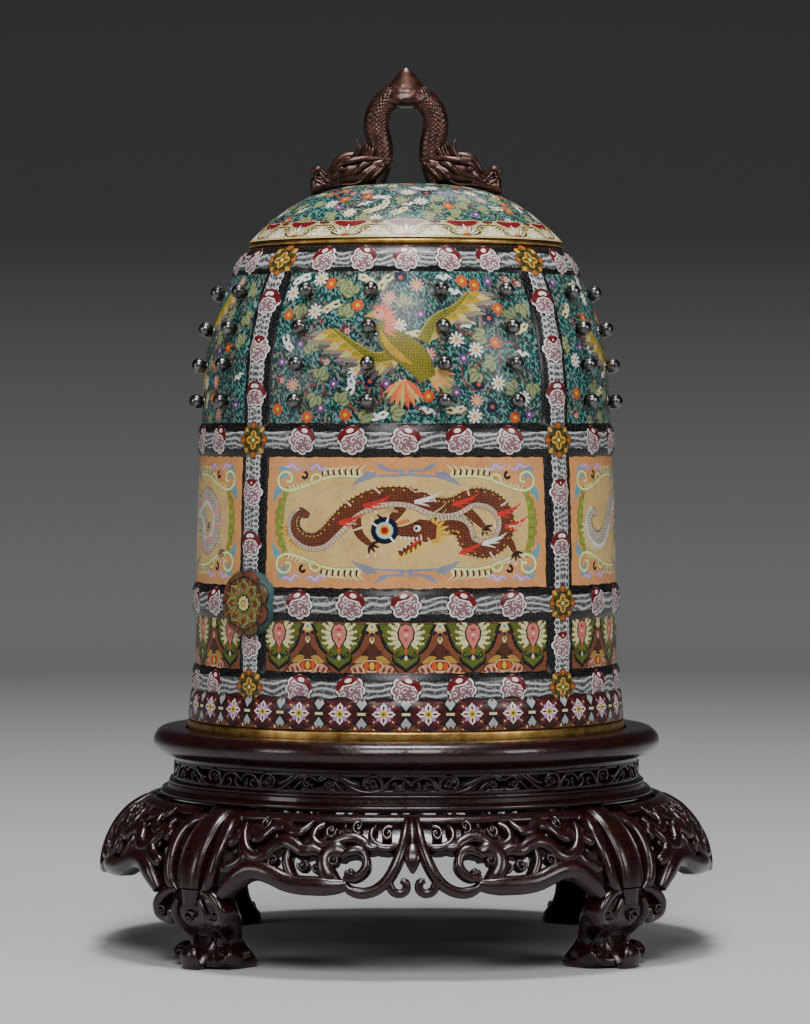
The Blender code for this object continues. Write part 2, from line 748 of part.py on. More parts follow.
def apron(name, azimuth, wood):
    """One pierced apron between two legs, swept round the stand."""
    half = math.pi / SIDES - LEG_HALF_ANGLE - GAP / SKIRT_ROOT_RADIUS
    drop_starts = SPANDREL_ANGLE / half
    shares = [-1, -1 + drop_starts * 0.35, -1 + drop_starts * 0.7]
    shares += [(1 - drop_starts) * (i / (APRON_STEPS / 2 - 1) - 1) for i in range(APRON_STEPS - 1)]
    shares += [-share for share in reversed(shares[:3])]
    bm = bmesh.new()
    loops = []
    for share in shares:
        angle = azimuth + half * share
        inset = lobe_inset(angle)
        section = skirt_section(spandrel(half * (1 - abs(share))))
        ring = [moved_out((radius - inset, 0, z), angle) for radius, z in section]
        loops.append([bm.verts.new(point) for point in ring])
    for first, second in zip(loops, loops[1:]):
        for j in range(len(first)):
            k = (j + 1) % len(first)
            bm.faces.new((first[j], first[k], second[k], second[j]))
    bm.faces.new(loops[0])
    bm.faces.new(loops[-1])
    form = add(name + " form", mesh_from(bm, name))
    for index, (degrees, share, width, height, slant) in enumerate(APRON_OPENINGS):
        for mirror in (-1, 1) if degrees else (1,):
            middle = APRON_CLEARANCE + APRON_HEIGHT * share
            hole = wedge_hole(
                f"{name} opening {index} {mirror}",
                azimuth + mirror * math.radians(degrees),
                math.radians(width) / 2,
                middle - height * MM / 2,
                middle + height * MM / 2,
                SKIRT_ROOT_RADIUS * 0.7,
                (SKIRT_ROOT_RADIUS + SKIRT_BULGE) * 1.1,
                6,
                mirror * slant * MM,
            )
            combine(form, hole, "DIFFERENCE")
    made = add(name, baked(form), wood)
    smooth(made)


# The leg below the aprons: shares of its free height, of the ankle's setback, of the leg's depth
# and of the scroll's half width
LEG_PROFILE = (
    (0.96, 0.04, 0.50, 0.84),
    (0.88, 0.04, 0.58, 1.0),
    (0.70, 0.17, 0.66, 1.0),
    (0.60, 0.58, 0.74, 0.76),
    (0.50, 1.0, 0.79, 0.60),
    (0.36, 1.0, 0.87, 0.60),
    (0.25, 0.667, 0.947, 0.72),
    (0.08, 0.667, 1.0, 0.76),
    (0.0, 0.917, 0.947, 0.64),
)


def leg_levels():
    """The leg from the top down: height, outer and inner radius, and half width.

    Beside the aprons it is as wide as they leave room for, so the half width there is no limit.
    """
    knee = APRON_CLEARANCE + 2 * MM
    rise = APRON_HEIGHT
    levels = []
    for share in (1.0, 0.86, 0.66, 0.4, 0.1):
        z = knee + (SKIRT_TOP - knee) * share
        swell = math.sqrt(1 - ((z - knee) / rise) ** 2)
        outer = SKIRT_ROOT_RADIUS + SKIRT_BULGE * swell - LOBE_DEPTH
        inner = SKIRT_ROOT_RADIUS - MM + (SKIRT_BULGE - 1.6 * SKIRT_THICKNESS) * swell * (1 - share)
        levels.append((z, outer, inner, outer))
    bulge = SKIRT_ROOT_RADIUS + SKIRT_BULGE - LOBE_DEPTH
    free = APRON_CLEARANCE - SPANDREL_DROP - GAP
    levels.append((free, bulge, bulge - 0.45 * LEG_DEPTH, bulge))
    for height, setback, depth, width in LEG_PROFILE:
        levels.append(
            (
                free * height,
                bulge - ANKLE_SETBACK * setback,
                bulge - LEG_DEPTH * depth,
                SCROLL_HALF_WIDTH * width,
            )
        )
    return levels


def leg(name, azimuth, wood):
    """One leg, lofted down from the moulding over its strapped knee to a scroll foot on a pad."""
    bm = bmesh.new()
    loops = []
    for z, outer, inner, half in leg_levels():
        strap = min(STRAP_HALF_WIDTH, half * 0.6)
        corner = min(3 * MM, (outer - inner) * 0.2)
        section = [
            (outer, -strap),
            (outer, strap),
            (outer - STRAP_RISE, strap + MM),
            (outer - STRAP_RISE - MM, half),
            (outer - STRAP_RISE - corner, half),
            (inner + corner, half),
            (inner, half - corner),
        ]
        if z > APRON_CLEARANCE - SPANDREL_DROP - 1.5 * GAP:
            slope = math.tan(LEG_HALF_ANGLE)
            section = [(out, min(along, out * slope)) for out, along in section]
        section += [(out, -along) for out, along in reversed(section[2:])]
        loops.append([bm.verts.new(moved_out((out, along, z), azimuth)) for out, along in section])
    for upper, lower in zip(loops, loops[1:]):
        for j in range(len(upper)):
            k = (j + 1) % len(upper)
            bm.faces.new((upper[j], upper[k], lower[k], lower[j]))
    bm.faces.new(loops[0])
    bm.faces.new(loops[-1])
    made = add(name, mesh_from(bm, name), wood)
    smooth(made)


def main():
    clear_scene()
    enamel = material("teal enamel", (0.12, 0.30, 0.30), 0.25, 0.0)
    gilt = material("gilt metal", (0.55, 0.38, 0.12), 0.3, 1.0)
    bronze = material("brown bronze", (0.10, 0.045, 0.03), 0.35, 0.8)
    wood = material("dark wood", (0.045, 0.012, 0.012), 0.22, 0.0)
    vessel_body(enamel)
    base_ring(gilt)
    clear_bell = bell_form("bell clearance", GAP)
    quarter = math.pi / SIDES
    lotus_boss("striking_boss_front", -quarter, enamel, clear_bell)
    lotus_boss("striking_boss_back", math.pi - quarter, enamel, clear_bell)
    lid_dome(enamel)
    lid_ring(gilt)
    dragon_handle(bronze)
    stand_top(wood)
    stand_waist(wood)
    stand_moulding(wood)
    for side in range(SIDES):
        azimuth = STAND_TURN + side * 2 * math.pi / SIDES
        apron(f"stand_apron_{side + 1}", azimuth, wood)
        leg(f"stand_leg_{side + 1}", azimuth + quarter, wood)


main()
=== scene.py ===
# %% [markdown]
# # A bell-shaped cloisonne vessel on a carved stand
#
# The vessel is a copper shell covered with coloured enamel, laid cell by cell between thin gilt
# wires, with rows of metal balls riveted through it. A bronze handle of two dragon heads sits on
# the lid, and the whole stands on a pierced stand of dark polished wood. The construction model
# has every piece at its real size. This lesson gives each piece its finish and fine form.

# %% Load the construction model
import json
import math
import random

import bmesh
import bpy
from mathutils import Matrix, Vector
from mathutils.geometry import delaunay_2d_cdt
from mathutils.noise import noise as lumpiness

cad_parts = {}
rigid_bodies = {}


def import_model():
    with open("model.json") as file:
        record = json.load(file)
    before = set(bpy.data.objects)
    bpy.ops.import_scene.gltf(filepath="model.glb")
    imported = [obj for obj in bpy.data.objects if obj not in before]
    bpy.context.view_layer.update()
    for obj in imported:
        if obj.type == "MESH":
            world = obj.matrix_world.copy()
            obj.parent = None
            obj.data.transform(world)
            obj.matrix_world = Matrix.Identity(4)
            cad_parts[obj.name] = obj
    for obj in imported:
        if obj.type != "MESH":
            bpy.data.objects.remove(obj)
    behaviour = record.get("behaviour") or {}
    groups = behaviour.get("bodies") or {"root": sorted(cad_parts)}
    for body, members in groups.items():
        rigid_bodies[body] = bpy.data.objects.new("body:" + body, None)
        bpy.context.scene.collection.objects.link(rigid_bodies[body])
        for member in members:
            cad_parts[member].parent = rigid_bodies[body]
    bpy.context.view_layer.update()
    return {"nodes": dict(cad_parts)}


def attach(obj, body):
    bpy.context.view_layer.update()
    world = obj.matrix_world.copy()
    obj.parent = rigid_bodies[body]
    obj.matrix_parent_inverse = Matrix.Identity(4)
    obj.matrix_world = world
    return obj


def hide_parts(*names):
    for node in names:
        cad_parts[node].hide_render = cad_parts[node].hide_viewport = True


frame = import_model()
MM = 0.001
random.seed(7)
print("construction nodes:", len(frame["nodes"]))

# %% [markdown]
# ## Camera, floor and light
#
# The camera stands a little above the middle of the vessel and far off, so that the rings look
# like thin ovals. The floor is a pale sheet that sweeps up behind the vessel. Its colour is painted
# darker up the sweep, as painted shade for light that falls off with height.
# The light is a soft box overhead and one in front, with three fainter boxes at the sides and
# behind, which give the polished wood and the balls their small bright marks.

# %% Camera
CAMERA_DISTANCE = 2.175
CAMERA_HEIGHT = 0.258
CAMERA_DROP = math.radians(1.12)
FOCAL_LENGTH = 152.9

bpy.ops.object.camera_add(
    location=(-0.0005, -CAMERA_DISTANCE, CAMERA_HEIGHT),
    rotation=(math.pi / 2 - CAMERA_DROP, 0, 0),
)
camera = bpy.context.object
camera.data.lens = FOCAL_LENGTH
camera.data.sensor_width = 36
bpy.context.scene.camera = camera

# %% Floor
SWEEP_RADIUS = 2.5
SWEEP_BEND = 0.9
SWEEP_HEIGHT = 1.9
bpy.ops.object.select_all(action="DESELECT")
bpy.ops.mesh.primitive_circle_add(
    vertices=128, radius=SWEEP_RADIUS, fill_type="NGON", location=(0, 0, -0.0004),
)
floor = bpy.context.object
floor.name = "floor"
bpy.ops.object.mode_set(mode="EDIT")
bpy.ops.mesh.select_mode(type="EDGE")
bpy.ops.mesh.select_all(action="SELECT")
reach, height = SWEEP_RADIUS, 0.0
for step in range(1, 14):
    bend = math.radians(min(90, 7.5 * step))
    next_reach = SWEEP_RADIUS + SWEEP_BEND * math.sin(bend)
    next_height = SWEEP_BEND * (1 - math.cos(bend)) if step < 13 else SWEEP_HEIGHT
    bpy.ops.mesh.extrude_edges_move(TRANSFORM_OT_translate={"value": (0, 0, next_height - height)})
    bpy.ops.transform.resize(value=(next_reach / reach, next_reach / reach, 1), center_override=(0, 0, 0))
    reach, height = next_reach, next_height
bpy.ops.object.mode_set(mode="OBJECT")
bpy.ops.object.shade_smooth()
floor_with_painted_shade = bpy.data.materials.new("pale floor with painted shade")
floor_with_painted_shade.use_nodes = True
nodes, links = floor_with_painted_shade.node_tree.nodes, floor_with_painted_shade.node_tree.links
height_of = nodes.new("ShaderNodeSeparateXYZ")
links.new(nodes.new("ShaderNodeTexCoord").outputs["Object"], height_of.inputs[0])
# painted shade: the colour runs by height from pale on the floor to near black at the top of the sweep,
# standing in for light that falls off upwards
shade = nodes.new("ShaderNodeValToRGB")
links.new(height_of.outputs["Z"], shade.inputs["Fac"])
shade.color_ramp.elements[0].color = (0.52, 0.53, 0.535, 1)
shade.color_ramp.elements[1].position = 0.95
shade.color_ramp.elements[1].color = (0.012, 0.013, 0.0135, 1)
for position, value in ((0.16, 0.36), (0.5, 0.085)):
    shade.color_ramp.elements.new(position).color = (value * 0.98, value, value * 1.01, 1)
links.new(shade.outputs["Color"], nodes["Principled BSDF"].inputs["Base Color"])
nodes["Principled BSDF"].inputs["Roughness"].default_value = 0.6
floor.data.materials.append(floor_with_painted_shade)

# %% Soft light
world = bpy.data.worlds.new("studio")
world.use_nodes = True
world.node_tree.nodes["Background"].inputs["Color"].default_value = (0.20, 0.205, 0.215, 1)
world.node_tree.nodes["Background"].inputs["Strength"].default_value = 0.10
bpy.context.scene.world = world


def soft_box(name, place, size, watts):
    """A square soft box that looks at the middle of the vessel."""
    bpy.ops.object.light_add(type="AREA", location=place)
    lamp = bpy.context.object
    lamp.name = name
    lamp.data.size = size
    lamp.data.energy = watts
    aim = Vector((0, 0, 0.2)) - Vector(place)
    lamp.rotation_euler = aim.to_track_quat("-Z", "Y").to_euler()


soft_box("overhead box", (0.0, -0.12, 1.9), 0.5, 27)
soft_box("front box", (-0.12, -1.95, 1.85), 1.0, 46)
soft_box("left box", (-1.7, -0.9, 0.7), 0.6, 6)
soft_box("right box", (1.5, -1.1, 0.9), 0.6, 11)
soft_box("back box", (0.2, 1.6, 1.9), 0.8, 4)

# %% [markdown]
# ## Sizes shared with the construction model
#
# The enamel drawings are laid on the vessel by height and by turn, so they need its curve. The
# heights below are the model's own, measured up from the floor in millimetres.

# %% The curve of the bell, in millimetres
SEAT = 105.5
BODY_BOTTOM = 112.8
ROUNDEL_TOP = 127.8
LOW_RIB = 132.5
LOWER_RIB = 172.9
UPPER_RIB = 251.7
TOP_RIB = 339.5
TOP_RIB_HALF = 6.8
RIB_HALF = 8.2
RIB_RISE = 2.1
WAISTLINE = 255.3
MOUTH = 346.3
FOOT_RADIUS = 105.2
WAISTLINE_RADIUS = 102.0
MOUTH_RADIUS = 78.4
ROUNDEL_RISE = 3.5
SHOULDER_POWER = 2.68
FLANK_POWER = 3.5
BODY_WALL = 2.6
GAP = 0.3
QUARTER_WIDTH = WAISTLINE_RADIUS * math.pi / 4


def wall_radius(z):
    """The radius of the plain wall at a height."""
    if z <= WAISTLINE:
        share = max(0.0, (z - BODY_BOTTOM) / (WAISTLINE - BODY_BOTTOM))
        return FOOT_RADIUS - (FOOT_RADIUS - WAISTLINE_RADIUS) * share**FLANK_POWER
    share = min(1.0, (z - WAISTLINE) / (MOUTH - WAISTLINE))
    return WAISTLINE_RADIUS - (WAISTLINE_RADIUS - MOUTH_RADIUS) * share**SHOULDER_POWER


def skin_radius(z, edge=99.0):
    """The radius of the enamel at a height and a distance from the middle of an upright band."""
    plain = wall_radius(z)
    rise = 0.0
    for centre, half in (
        (LOW_RIB, RIB_HALF),
        (LOWER_RIB, RIB_HALF),
        (UPPER_RIB, RIB_HALF),
        (TOP_RIB, TOP_RIB_HALF),
    ):
        offset = abs(z - centre) / half
        if offset < 1:
            rise = max(rise, RIB_RISE * (1 - offset**2.6))
    if edge < RIB_HALF and LOW_RIB < z < TOP_RIB:
        rise = max(rise, RIB_RISE * (1 - (edge / RIB_HALF) ** 2.6))
    if z < ROUNDEL_TOP + 2:
        share = max(0.0, (z - BODY_BOTTOM) / (ROUNDEL_TOP + 2 - BODY_BOTTOM))
        band = FOOT_RADIUS - plain + ROUNDEL_RISE * (1 - share**5)
        rise = max(rise, band)
    return plain + rise


def laid_on_bell(x, z, side):
    """A point of the quarter's drawing, x across and z up, on side 0 to 3 of the bell, in metres."""
    radius = wall_radius(z)
    edge = QUARTER_WIDTH - abs(x)
    if edge < RIB_HALF:
        turn = math.copysign(math.pi / 4 - edge / radius, x)
    else:
        turn = x / (QUARTER_WIDTH - RIB_HALF) * (math.pi / 4 - RIB_HALF / radius)
    turn += side * math.pi / 2
    reach = skin_radius(z, edge)
    return (reach * math.sin(turn) * MM, -reach * math.cos(turn) * MM, z * MM)


print("quarter of the bell:", round(2 * QUARTER_WIDTH, 1), "mm wide")

# %% [markdown]
# ## Drawing with cells
#
# On the real vessel every patch of colour lies in its own cell, flush with its neighbours and
# fenced by a gilt wire. An image would be the quick way to get that look, but cells can be
# drawn as real mesh. Each motif is a flat outline with a colour. All the outlines are cut
# against each other into triangles, and each triangle takes the colour of the outline that
# lies on top. The drawing is made flat, in millimetres, and only then laid on the curved wall.

# %% Colours
def srgb(red, green, blue):
    """A colour given on a 0 to 255 scale, turned to the linear scale that shaders use."""
    return tuple(
        (c / 255 / 12.92 if c <= 10 else ((c / 255 + 0.055) / 1.055) ** 2.4) for c in (red, green, blue)
    )


GOLD_WIRE = srgb(176, 142, 78)
BLACK = srgb(24, 22, 28)
TEAL = srgb(92, 142, 138)
GREY_TEAL = srgb(104, 112, 98)
LEAF_GREEN = srgb(22, 92, 84)
DEEP_GREEN = srgb(10, 40, 48)
OLIVE = srgb(88, 98, 40)
OLIVE_PALE = srgb(140, 148, 112)
WHITE = srgb(224, 220, 214)
CREAM = srgb(214, 202, 150)
PINK = srgb(212, 146, 138)
ORANGE = srgb(192, 82, 36)
YELLOW = srgb(206, 170, 64)
NAVY = srgb(28, 26, 58)
PURPLE = srgb(108, 62, 128)
LILAC = srgb(170, 136, 180)
VINE_RED = srgb(128, 46, 46)
CAP_RED = srgb(100, 26, 30)
PLUM = srgb(132, 98, 102)
BROCADE = srgb(128, 130, 132)
PEACH = srgb(208, 146, 92)
CARTOUCHE = srgb(206, 174, 112)
SCROLL = srgb(224, 222, 160)
LEAF_BLUE = srgb(94, 152, 168)
FRET_GREEN = srgb(128, 146, 58)
BRACKET = srgb(132, 134, 148)
MAROON = srgb(64, 28, 30)
UMBER = srgb(78, 44, 32)
SCARLET = srgb(196, 50, 42)

# How a cell's colour is broken up by the enamel material
PLAIN, BROCADED, SPECKLED, SCALED, MOTTLED, LEAFY = 0.0, 0.2, 0.4, 0.6, 0.8, 1.0

# %% Outlines
shapes = []
frames = [None]
pen = {"middle": 0.0, "widen": 1.0}


def widen_about(x, z=None):
    """Draws what follows wider about x, by as much as the bell is narrower at z than at its foot."""
    pen["middle"] = x
    pen["widen"] = 1.0 if z is None else wall_radius(BODY_BOTTOM) / wall_radius(z)


def paint(ring, colour, kind=PLAIN, metal=0.0):
    """Adds one outline on top of the drawing; it shows only inside the panel that is open now.

    Its points are put in anticlockwise order, and its box is kept, to test against later.
    """
    if pen["widen"] != 1.0:
        ring = [(pen["middle"] + (px - pen["middle"]) * pen["widen"], py) for px, py in ring]
    area = sum(a[0] * b[1] - b[0] * a[1] for a, b in zip(ring, ring[1:] + ring[:1]))
    if abs(area) > 0.002:
        across, up = [p[0] for p in ring], [p[1] for p in ring]
        box = (min(across), max(across), min(up), max(up))
        shapes.append((ring if area > 0 else ring[::-1], (colour, kind, metal), frames[-1], box))


def open_panel():
    """Holds what is painted next inside the outline that was painted last."""
    frames.append(len(shapes) - 1)


def close_panel():
    frames.pop()


def grown(ring, width):
    """The outline moved outwards all round by a width."""
    area = sum(a[0] * b[1] - b[0] * a[1] for a, b in zip(ring, ring[1:] + ring[:1]))
    sign = 1 if area > 0 else -1
    moved = []
    for before, here, after in zip(ring[-1:] + ring[:-1], ring, ring[1:] + ring[:1]):
        along = Vector((after[0] - before[0], after[1] - before[1]))
        if along.length < 1e-6:
            moved.append(here)
            continue
        along.normalize()
        moved.append((here[0] + sign * along.y * width, here[1] - sign * along.x * width))
    return moved


def wired(ring, colour, kind=PLAIN, wire=GOLD_WIRE, width=0.25, metal=1.0):
    """A cell with a wire round it."""
    paint(grown(ring, width), wire, PLAIN, metal)
    paint(ring, colour, kind)


def placed(points, x, y, turn=0.0, scale=1.0, flip=1):
    """Points turned, scaled, and moved to a place."""
    sine, cosine = math.sin(turn) * scale, math.cos(turn) * scale
    return [(x + flip * px * cosine - py * sine, y + flip * px * sine + py * cosine) for px, py in points]


def oval(x, y, width, height, turn=0.0, count=14):
    steps = [2 * math.pi * i / count for i in range(count)]
    return placed([(width / 2 * math.cos(t), height / 2 * math.sin(t)) for t in steps], x, y, turn)


def circle(radius, count):
    """So many points round the origin."""
    turns = [2 * math.pi * i / count for i in range(count)]
    return [(radius * math.cos(turn), radius * math.sin(turn)) for turn in turns]


def lobed_ring(x, y, radius, lobes, depth, turn=0.0, samples=4, sharp=1.0):
    """A round outline with so many lobes, cut in between them by a share of the radius."""
    count = lobes * samples
    ring = []
    for i in range(count):
        t = 2 * math.pi * i / count
        lobe = abs(math.cos(lobes * t / 2)) ** sharp
        reach = radius * (1 - depth * (1 - lobe))
        ring.append((reach * math.cos(t), reach * math.sin(t)))
    return placed(ring, x, y, turn)


def leaf(x, y, length, width, turn, belly=0.45):
    """A pointed leaf that starts at a place and grows along a turn."""
    points = [
        (0, 0), (belly * 0.4, -0.36), (belly, -0.5), (0.8, -0.26), (1, 0), (0.8, 0.26), (belly, 0.5),
        (belly * 0.4, 0.36),
    ]
    return placed([(px * length, py * width) for px, py in points], x, y, turn)


def sliver(x, y, length, width, turn):
    """A short stroke with two pointed ends."""
    points = [(-0.5, 0), (0, -0.5), (0.5, 0), (0, 0.5)]
    return placed([(px * length, py * width) for px, py in points], x, y, turn)


def smooth_between(a, b, c, d, t):
    """The value a share t of the way from b to c, on the smooth curve through all four."""
    bend = 2 * a - 5 * b + 4 * c - d
    twist = 3 * b - a - 3 * c + d
    return 0.5 * (2 * b + (c - a) * t + bend * t**2 + twist * t**3)


def smooth_path(points, steps=5):
    """A smooth line through some points, with so many steps between two of them."""
    path = []
    padded = [points[0]] + list(points) + [points[-1]]
    for a, b, c, d in zip(padded, padded[1:], padded[2:], padded[3:]):
        for i in range(steps):
            t = i / steps
            path.append(tuple(smooth_between(p, q, r, s, t) for p, q, r, s in zip(a, b, c, d)))
    path.append(tuple(points[-1]))
    return path


def curl_path(x, y, radius, start, turns, steps=9, end=0.25):
    """A line that winds inwards about a place; a minus number of turns winds clockwise."""
    path = []
    for i in range(steps + 1):
        t = i / steps
        reach = radius * (1 - (1 - end) * t)
        angle = start + 2 * math.pi * turns * t
        path.append((x + reach * math.cos(angle), y + reach * math.sin(angle)))
    return path


def ribbon_edges(path, widths):
    """The left and right edges of a ribbon along a path."""
    left, right = [], []
    for i, here in enumerate(path):
        before, after = path[max(0, i - 1)], path[min(len(path) - 1, i + 1)]
        along = Vector((after[0] - before[0], after[1] - before[1]))
        along = along.normalized() if along.length > 1e-6 else Vector((1, 0))
        share = i / (len(path) - 1)
        half = widths(share) / 2 if callable(widths) else widths / 2
        left.append((here[0] - along.y * half, here[1] + along.x * half))
        right.append((here[0] + along.y * half, here[1] - along.x * half))
    return left, right


def ribbon(path, widths, colour, kind=PLAIN):
    """A ribbon of any width along a path, one cell for each step of it."""
    left, right = ribbon_edges(path, widths)
    for i in range(len(path) - 1):
        paint([left[i], left[i + 1], right[i + 1], right[i]], colour, kind)


def tapering(width, tip=0.15):
    return lambda share: width * (1 - (1 - tip) * share)


def swelling(width, tip=0.15):
    return lambda share: width * (tip + (1 - tip) * math.sin(math.pi * min(1, max(0, share))))


# %% Cutting the outlines into coloured triangles
def cut_cells(outline, lines, ground, keep, posts=()):
    """Cuts the painted outlines against each other and against the lines that bend the mesh.

    Gives the points, the triangles, and for each triangle its colour, kind and metal. Only
    triangles whose middle passes the keep test stay. A post is a point that the mesh must have.
    """
    points, edges, faces = [Vector(post) for post in posts], [], []
    for a, b in lines:
        edges.append((len(points), len(points) + 1))
        points += [Vector(a), Vector(b)]
    across, up = [p[0] for p in outline], [p[1] for p in outline]
    left, right, low, high = min(across), max(across), min(up), max(up)
    used = [None]
    faces.append(list(range(len(points), len(points) + len(outline))))
    points += [Vector(p) for p in outline]
    for index, (ring, _, _, box) in enumerate(shapes):
        if box[0] < right and box[1] > left and box[2] < high and box[3] > low:
            used.append(index)
            faces.append(list(range(len(points), len(points) + len(ring))))
            points += [Vector(p) for p in ring]
    flat, _, triangles, _, _, sources = delaunay_2d_cdt(points, edges, faces, 0, 0.004, True)
    kept, finish = [], []
    for triangle, covers in zip(triangles, sources):
        middle = sum((flat[i] for i in triangle), Vector((0, 0))) / 3
        if not keep(middle.x, middle.y):
            continue
        kept.append(triangle)
        over = {used[face] for face in covers}
        shown = ground
        for index in sorted(over - {None}, reverse=True):
            _, look, panel, box = shapes[index]
            in_box = box[0] <= middle.x <= box[1] and box[2] <= middle.y <= box[3]
            if in_box and (panel is None or panel in over):
                shown = look
                break
        finish.append(shown)
    return [(p.x, p.y) for p in flat], kept, finish


# The finish's patterns are counted along 100 mm of the drawing
PATTERN_PER_MM = 0.01


def enamel_mesh(name, flat, triangles, finish, place):
    """A mesh of the cut cells, laid in space by a place function, with its finish as attributes."""
    used = sorted({i for triangle in triangles for i in triangle})
    order = {old: new for new, old in enumerate(used)}
    mesh = bpy.data.meshes.new(name)
    mesh.from_pydata([place(*flat[i]) for i in used], [], [[order[i] for i in t] for t in triangles])
    # each new layer moves the ones before it, so they are all made first and then looked up
    mesh.uv_layers.new(name="drawing")
    mesh.color_attributes.new("enamel", "FLOAT_COLOR", "CORNER")
    mesh.attributes.new("kind", "FLOAT", "FACE")
    coords, colours = [], []
    for triangle, (tint, _, metal) in zip(triangles, finish):
        for i in triangle:
            coords += [flat[i][0] * PATTERN_PER_MM, flat[i][1] * PATTERN_PER_MM]
            colours += [*tint, metal]
    mesh.uv_layers["drawing"].data.foreach_set("uv", coords)
    mesh.color_attributes["enamel"].data.foreach_set("color", colours)
    mesh.attributes["kind"].data.foreach_set("value", [row[1] for row in finish])
    return mesh


# %% [markdown]
# ## Motifs of the bands
#
# The black bands carry a strip of grey brocade, and on it a row of plum discs with white
# scrolls and a dark red cap. Where two bands cross sits a flat olive and orange rosette.

# %% Discs and rosettes
DISC_RADIUS = 7.1


def disc(x, y, flip=1, radius=DISC_RADIUS, turn=0.0):
    """A plum disc with a scalloped white edge, white curls, and a dark red cap on one side."""
    widen_about(x, y)
    paint(lobed_ring(x, y, radius + 0.35, 8, 0.15, turn, 3, 0.6), BLACK)
    paint(lobed_ring(x, y, radius, 8, 0.15, turn, 4, 0.6), WHITE)
    paint(lobed_ring(x, y, radius * 0.88, 8, 0.16, turn, 4, 0.6), PLUM, MOTTLED)
    for i in range(6):
        around = turn + math.pi * (0.92 + i * 0.27)
        cx, cy = x + flip * radius * 0.56 * math.cos(around), y + radius * 0.56 * math.sin(around)
        ribbon(curl_path(cx, cy, radius * 0.22, around - 1.2, (-1) ** i * 0.85, 5), 0.5, WHITE)
    ribbon(curl_path(x + flip * 0.6, y - 0.2, radius * 0.26, 0.4, 0.9, 6), 0.5, WHITE)
    for i in range(7):
        around = turn + 0.2 + i * 0.9
        reach = radius * (0.3 if i % 2 else 0.74)
        paint(oval(x + reach * math.cos(around), y + reach * math.sin(around), 0.6, 0.6, 0, 4), WHITE)
    cap = [(0.98 * math.cos(a), 0.98 * math.sin(a)) for a in [math.radians(56 + 18 * i) for i in range(8)]]
    cap += [(-0.66, -0.06), (-0.50, 0.26), (-0.18, 0.34), (0.14, 0.42), (0.36, 0.60)]
    paint(placed([(px * radius, py * radius) for px, py in cap], x, y, turn, 1.0, flip), CAP_RED, MOTTLED)
    edge = [(-0.68, -0.06), (-0.50, 0.24), (-0.18, 0.32), (0.14, 0.40), (0.40, 0.62)]
    ribbon(placed([(px * radius, py * radius) for px, py in edge], x, y, turn, 1.0, flip), 0.55, WHITE)
    glint = oval(-0.16 * radius, 0.64 * radius, 0.5 * radius, 0.3 * radius, 0.3, 8)
    paint(placed(glint, x, y, turn, 1.0, flip), WHITE)
    widen_about(0)


def rosette(x, y, radius=9.2):
    """A flat quatrefoil flower on an olive and orange ground."""
    widen_about(x, y)
    paint(lobed_ring(x, y, radius, 8, 0.2, 0, 4), BLACK)
    paint(lobed_ring(x, y, radius * 0.94, 8, 0.2, 0, 4), srgb(156, 92, 42))
    paint(lobed_ring(x, y, radius * 0.84, 8, 0.22, 0, 4), srgb(70, 70, 34), MOTTLED)
    for i in range(8):
        turn = i * math.pi / 4
        reach = radius * 0.6
        paint(
            leaf(x + reach * math.cos(turn), y + reach * math.sin(turn), radius * 0.34, 2.0, turn),
            srgb(178, 92, 40) if i % 2 == 0 else srgb(186, 156, 66),
        )
        beside = (x + reach * math.cos(turn + 0.4), y + reach * math.sin(turn + 0.4))
        ribbon(curl_path(*beside, 1.1, turn, 0.8, 5), 0.4, BLACK)
    paint(lobed_ring(x, y, radius * 0.6, 4, 0.45, 0, 6), BLACK)
    paint(lobed_ring(x, y, radius * 0.52, 4, 0.45, 0, 6), srgb(190, 152, 62), MOTTLED)
    for i in range(4):
        turn = i * math.pi / 2
        paint(leaf(x, y, radius * 0.48, 1.5, turn), srgb(120, 66, 34))
    paint(oval(x, y, radius * 0.4, radius * 0.4), OLIVE)
    paint(oval(x, y, radius * 0.2, radius * 0.2), CREAM)
    widen_about(0)


def wobbly_panel(left, right, low, high, colour, kind=PLAIN, wobble=0.35, step=2.2):
    """A panel whose edges waver a little, as hand-laid wires do."""
    ring = []
    corners = [(left, low), (right, low), (right, high), (left, high)]
    for (ax, ay), (bx, by) in zip(corners, corners[1:] + corners[:1]):
        count = max(2, round(math.hypot(bx - ax, by - ay) / step))
        for i in range(count):
            t = i / count
            ring.append((
                ax + (bx - ax) * t + random.uniform(-wobble, wobble),
                ay + (by - ay) * t + random.uniform(-wobble, wobble),
            ))
    paint(ring, colour, kind)


# %% Bands
UPRIGHT_STRIP = 4.3
LEVEL_STRIP = 4.0
PANEL_EDGE = QUARTER_WIDTH - 9.2


def draw_bands(density):
    for centre, half in (
        (LOW_RIB, LEVEL_STRIP), (LOWER_RIB, LEVEL_STRIP), (UPPER_RIB, LEVEL_STRIP), (TOP_RIB - 0.6, 3.6),
    ):
        wobbly_panel(-QUARTER_WIDTH - 2, QUARTER_WIDTH + 2, centre - half, centre + half, BROCADE, BROCADED)
    for sign in (-1, 1):
        left, right = sorted((sign * (QUARTER_WIDTH - UPRIGHT_STRIP), sign * (QUARTER_WIDTH + 2)))
        wobbly_panel(left, right, LOW_RIB + 2, TOP_RIB - 2, BROCADE, BROCADED)
        edge = sign * (QUARTER_WIDTH - UPRIGHT_STRIP + 0.9)
        for k in range(round((TOP_RIB - LOW_RIB) / 3.1) if density > 0.4 else 0):
            lump = oval(edge + random.uniform(-0.3, 0.3), LOW_RIB + 3 + 3.1 * k, 2.6, 3.3, 0, 6)
            paint(grown(lump, 0.35), WHITE)
            paint(lump, BROCADE, BROCADED)


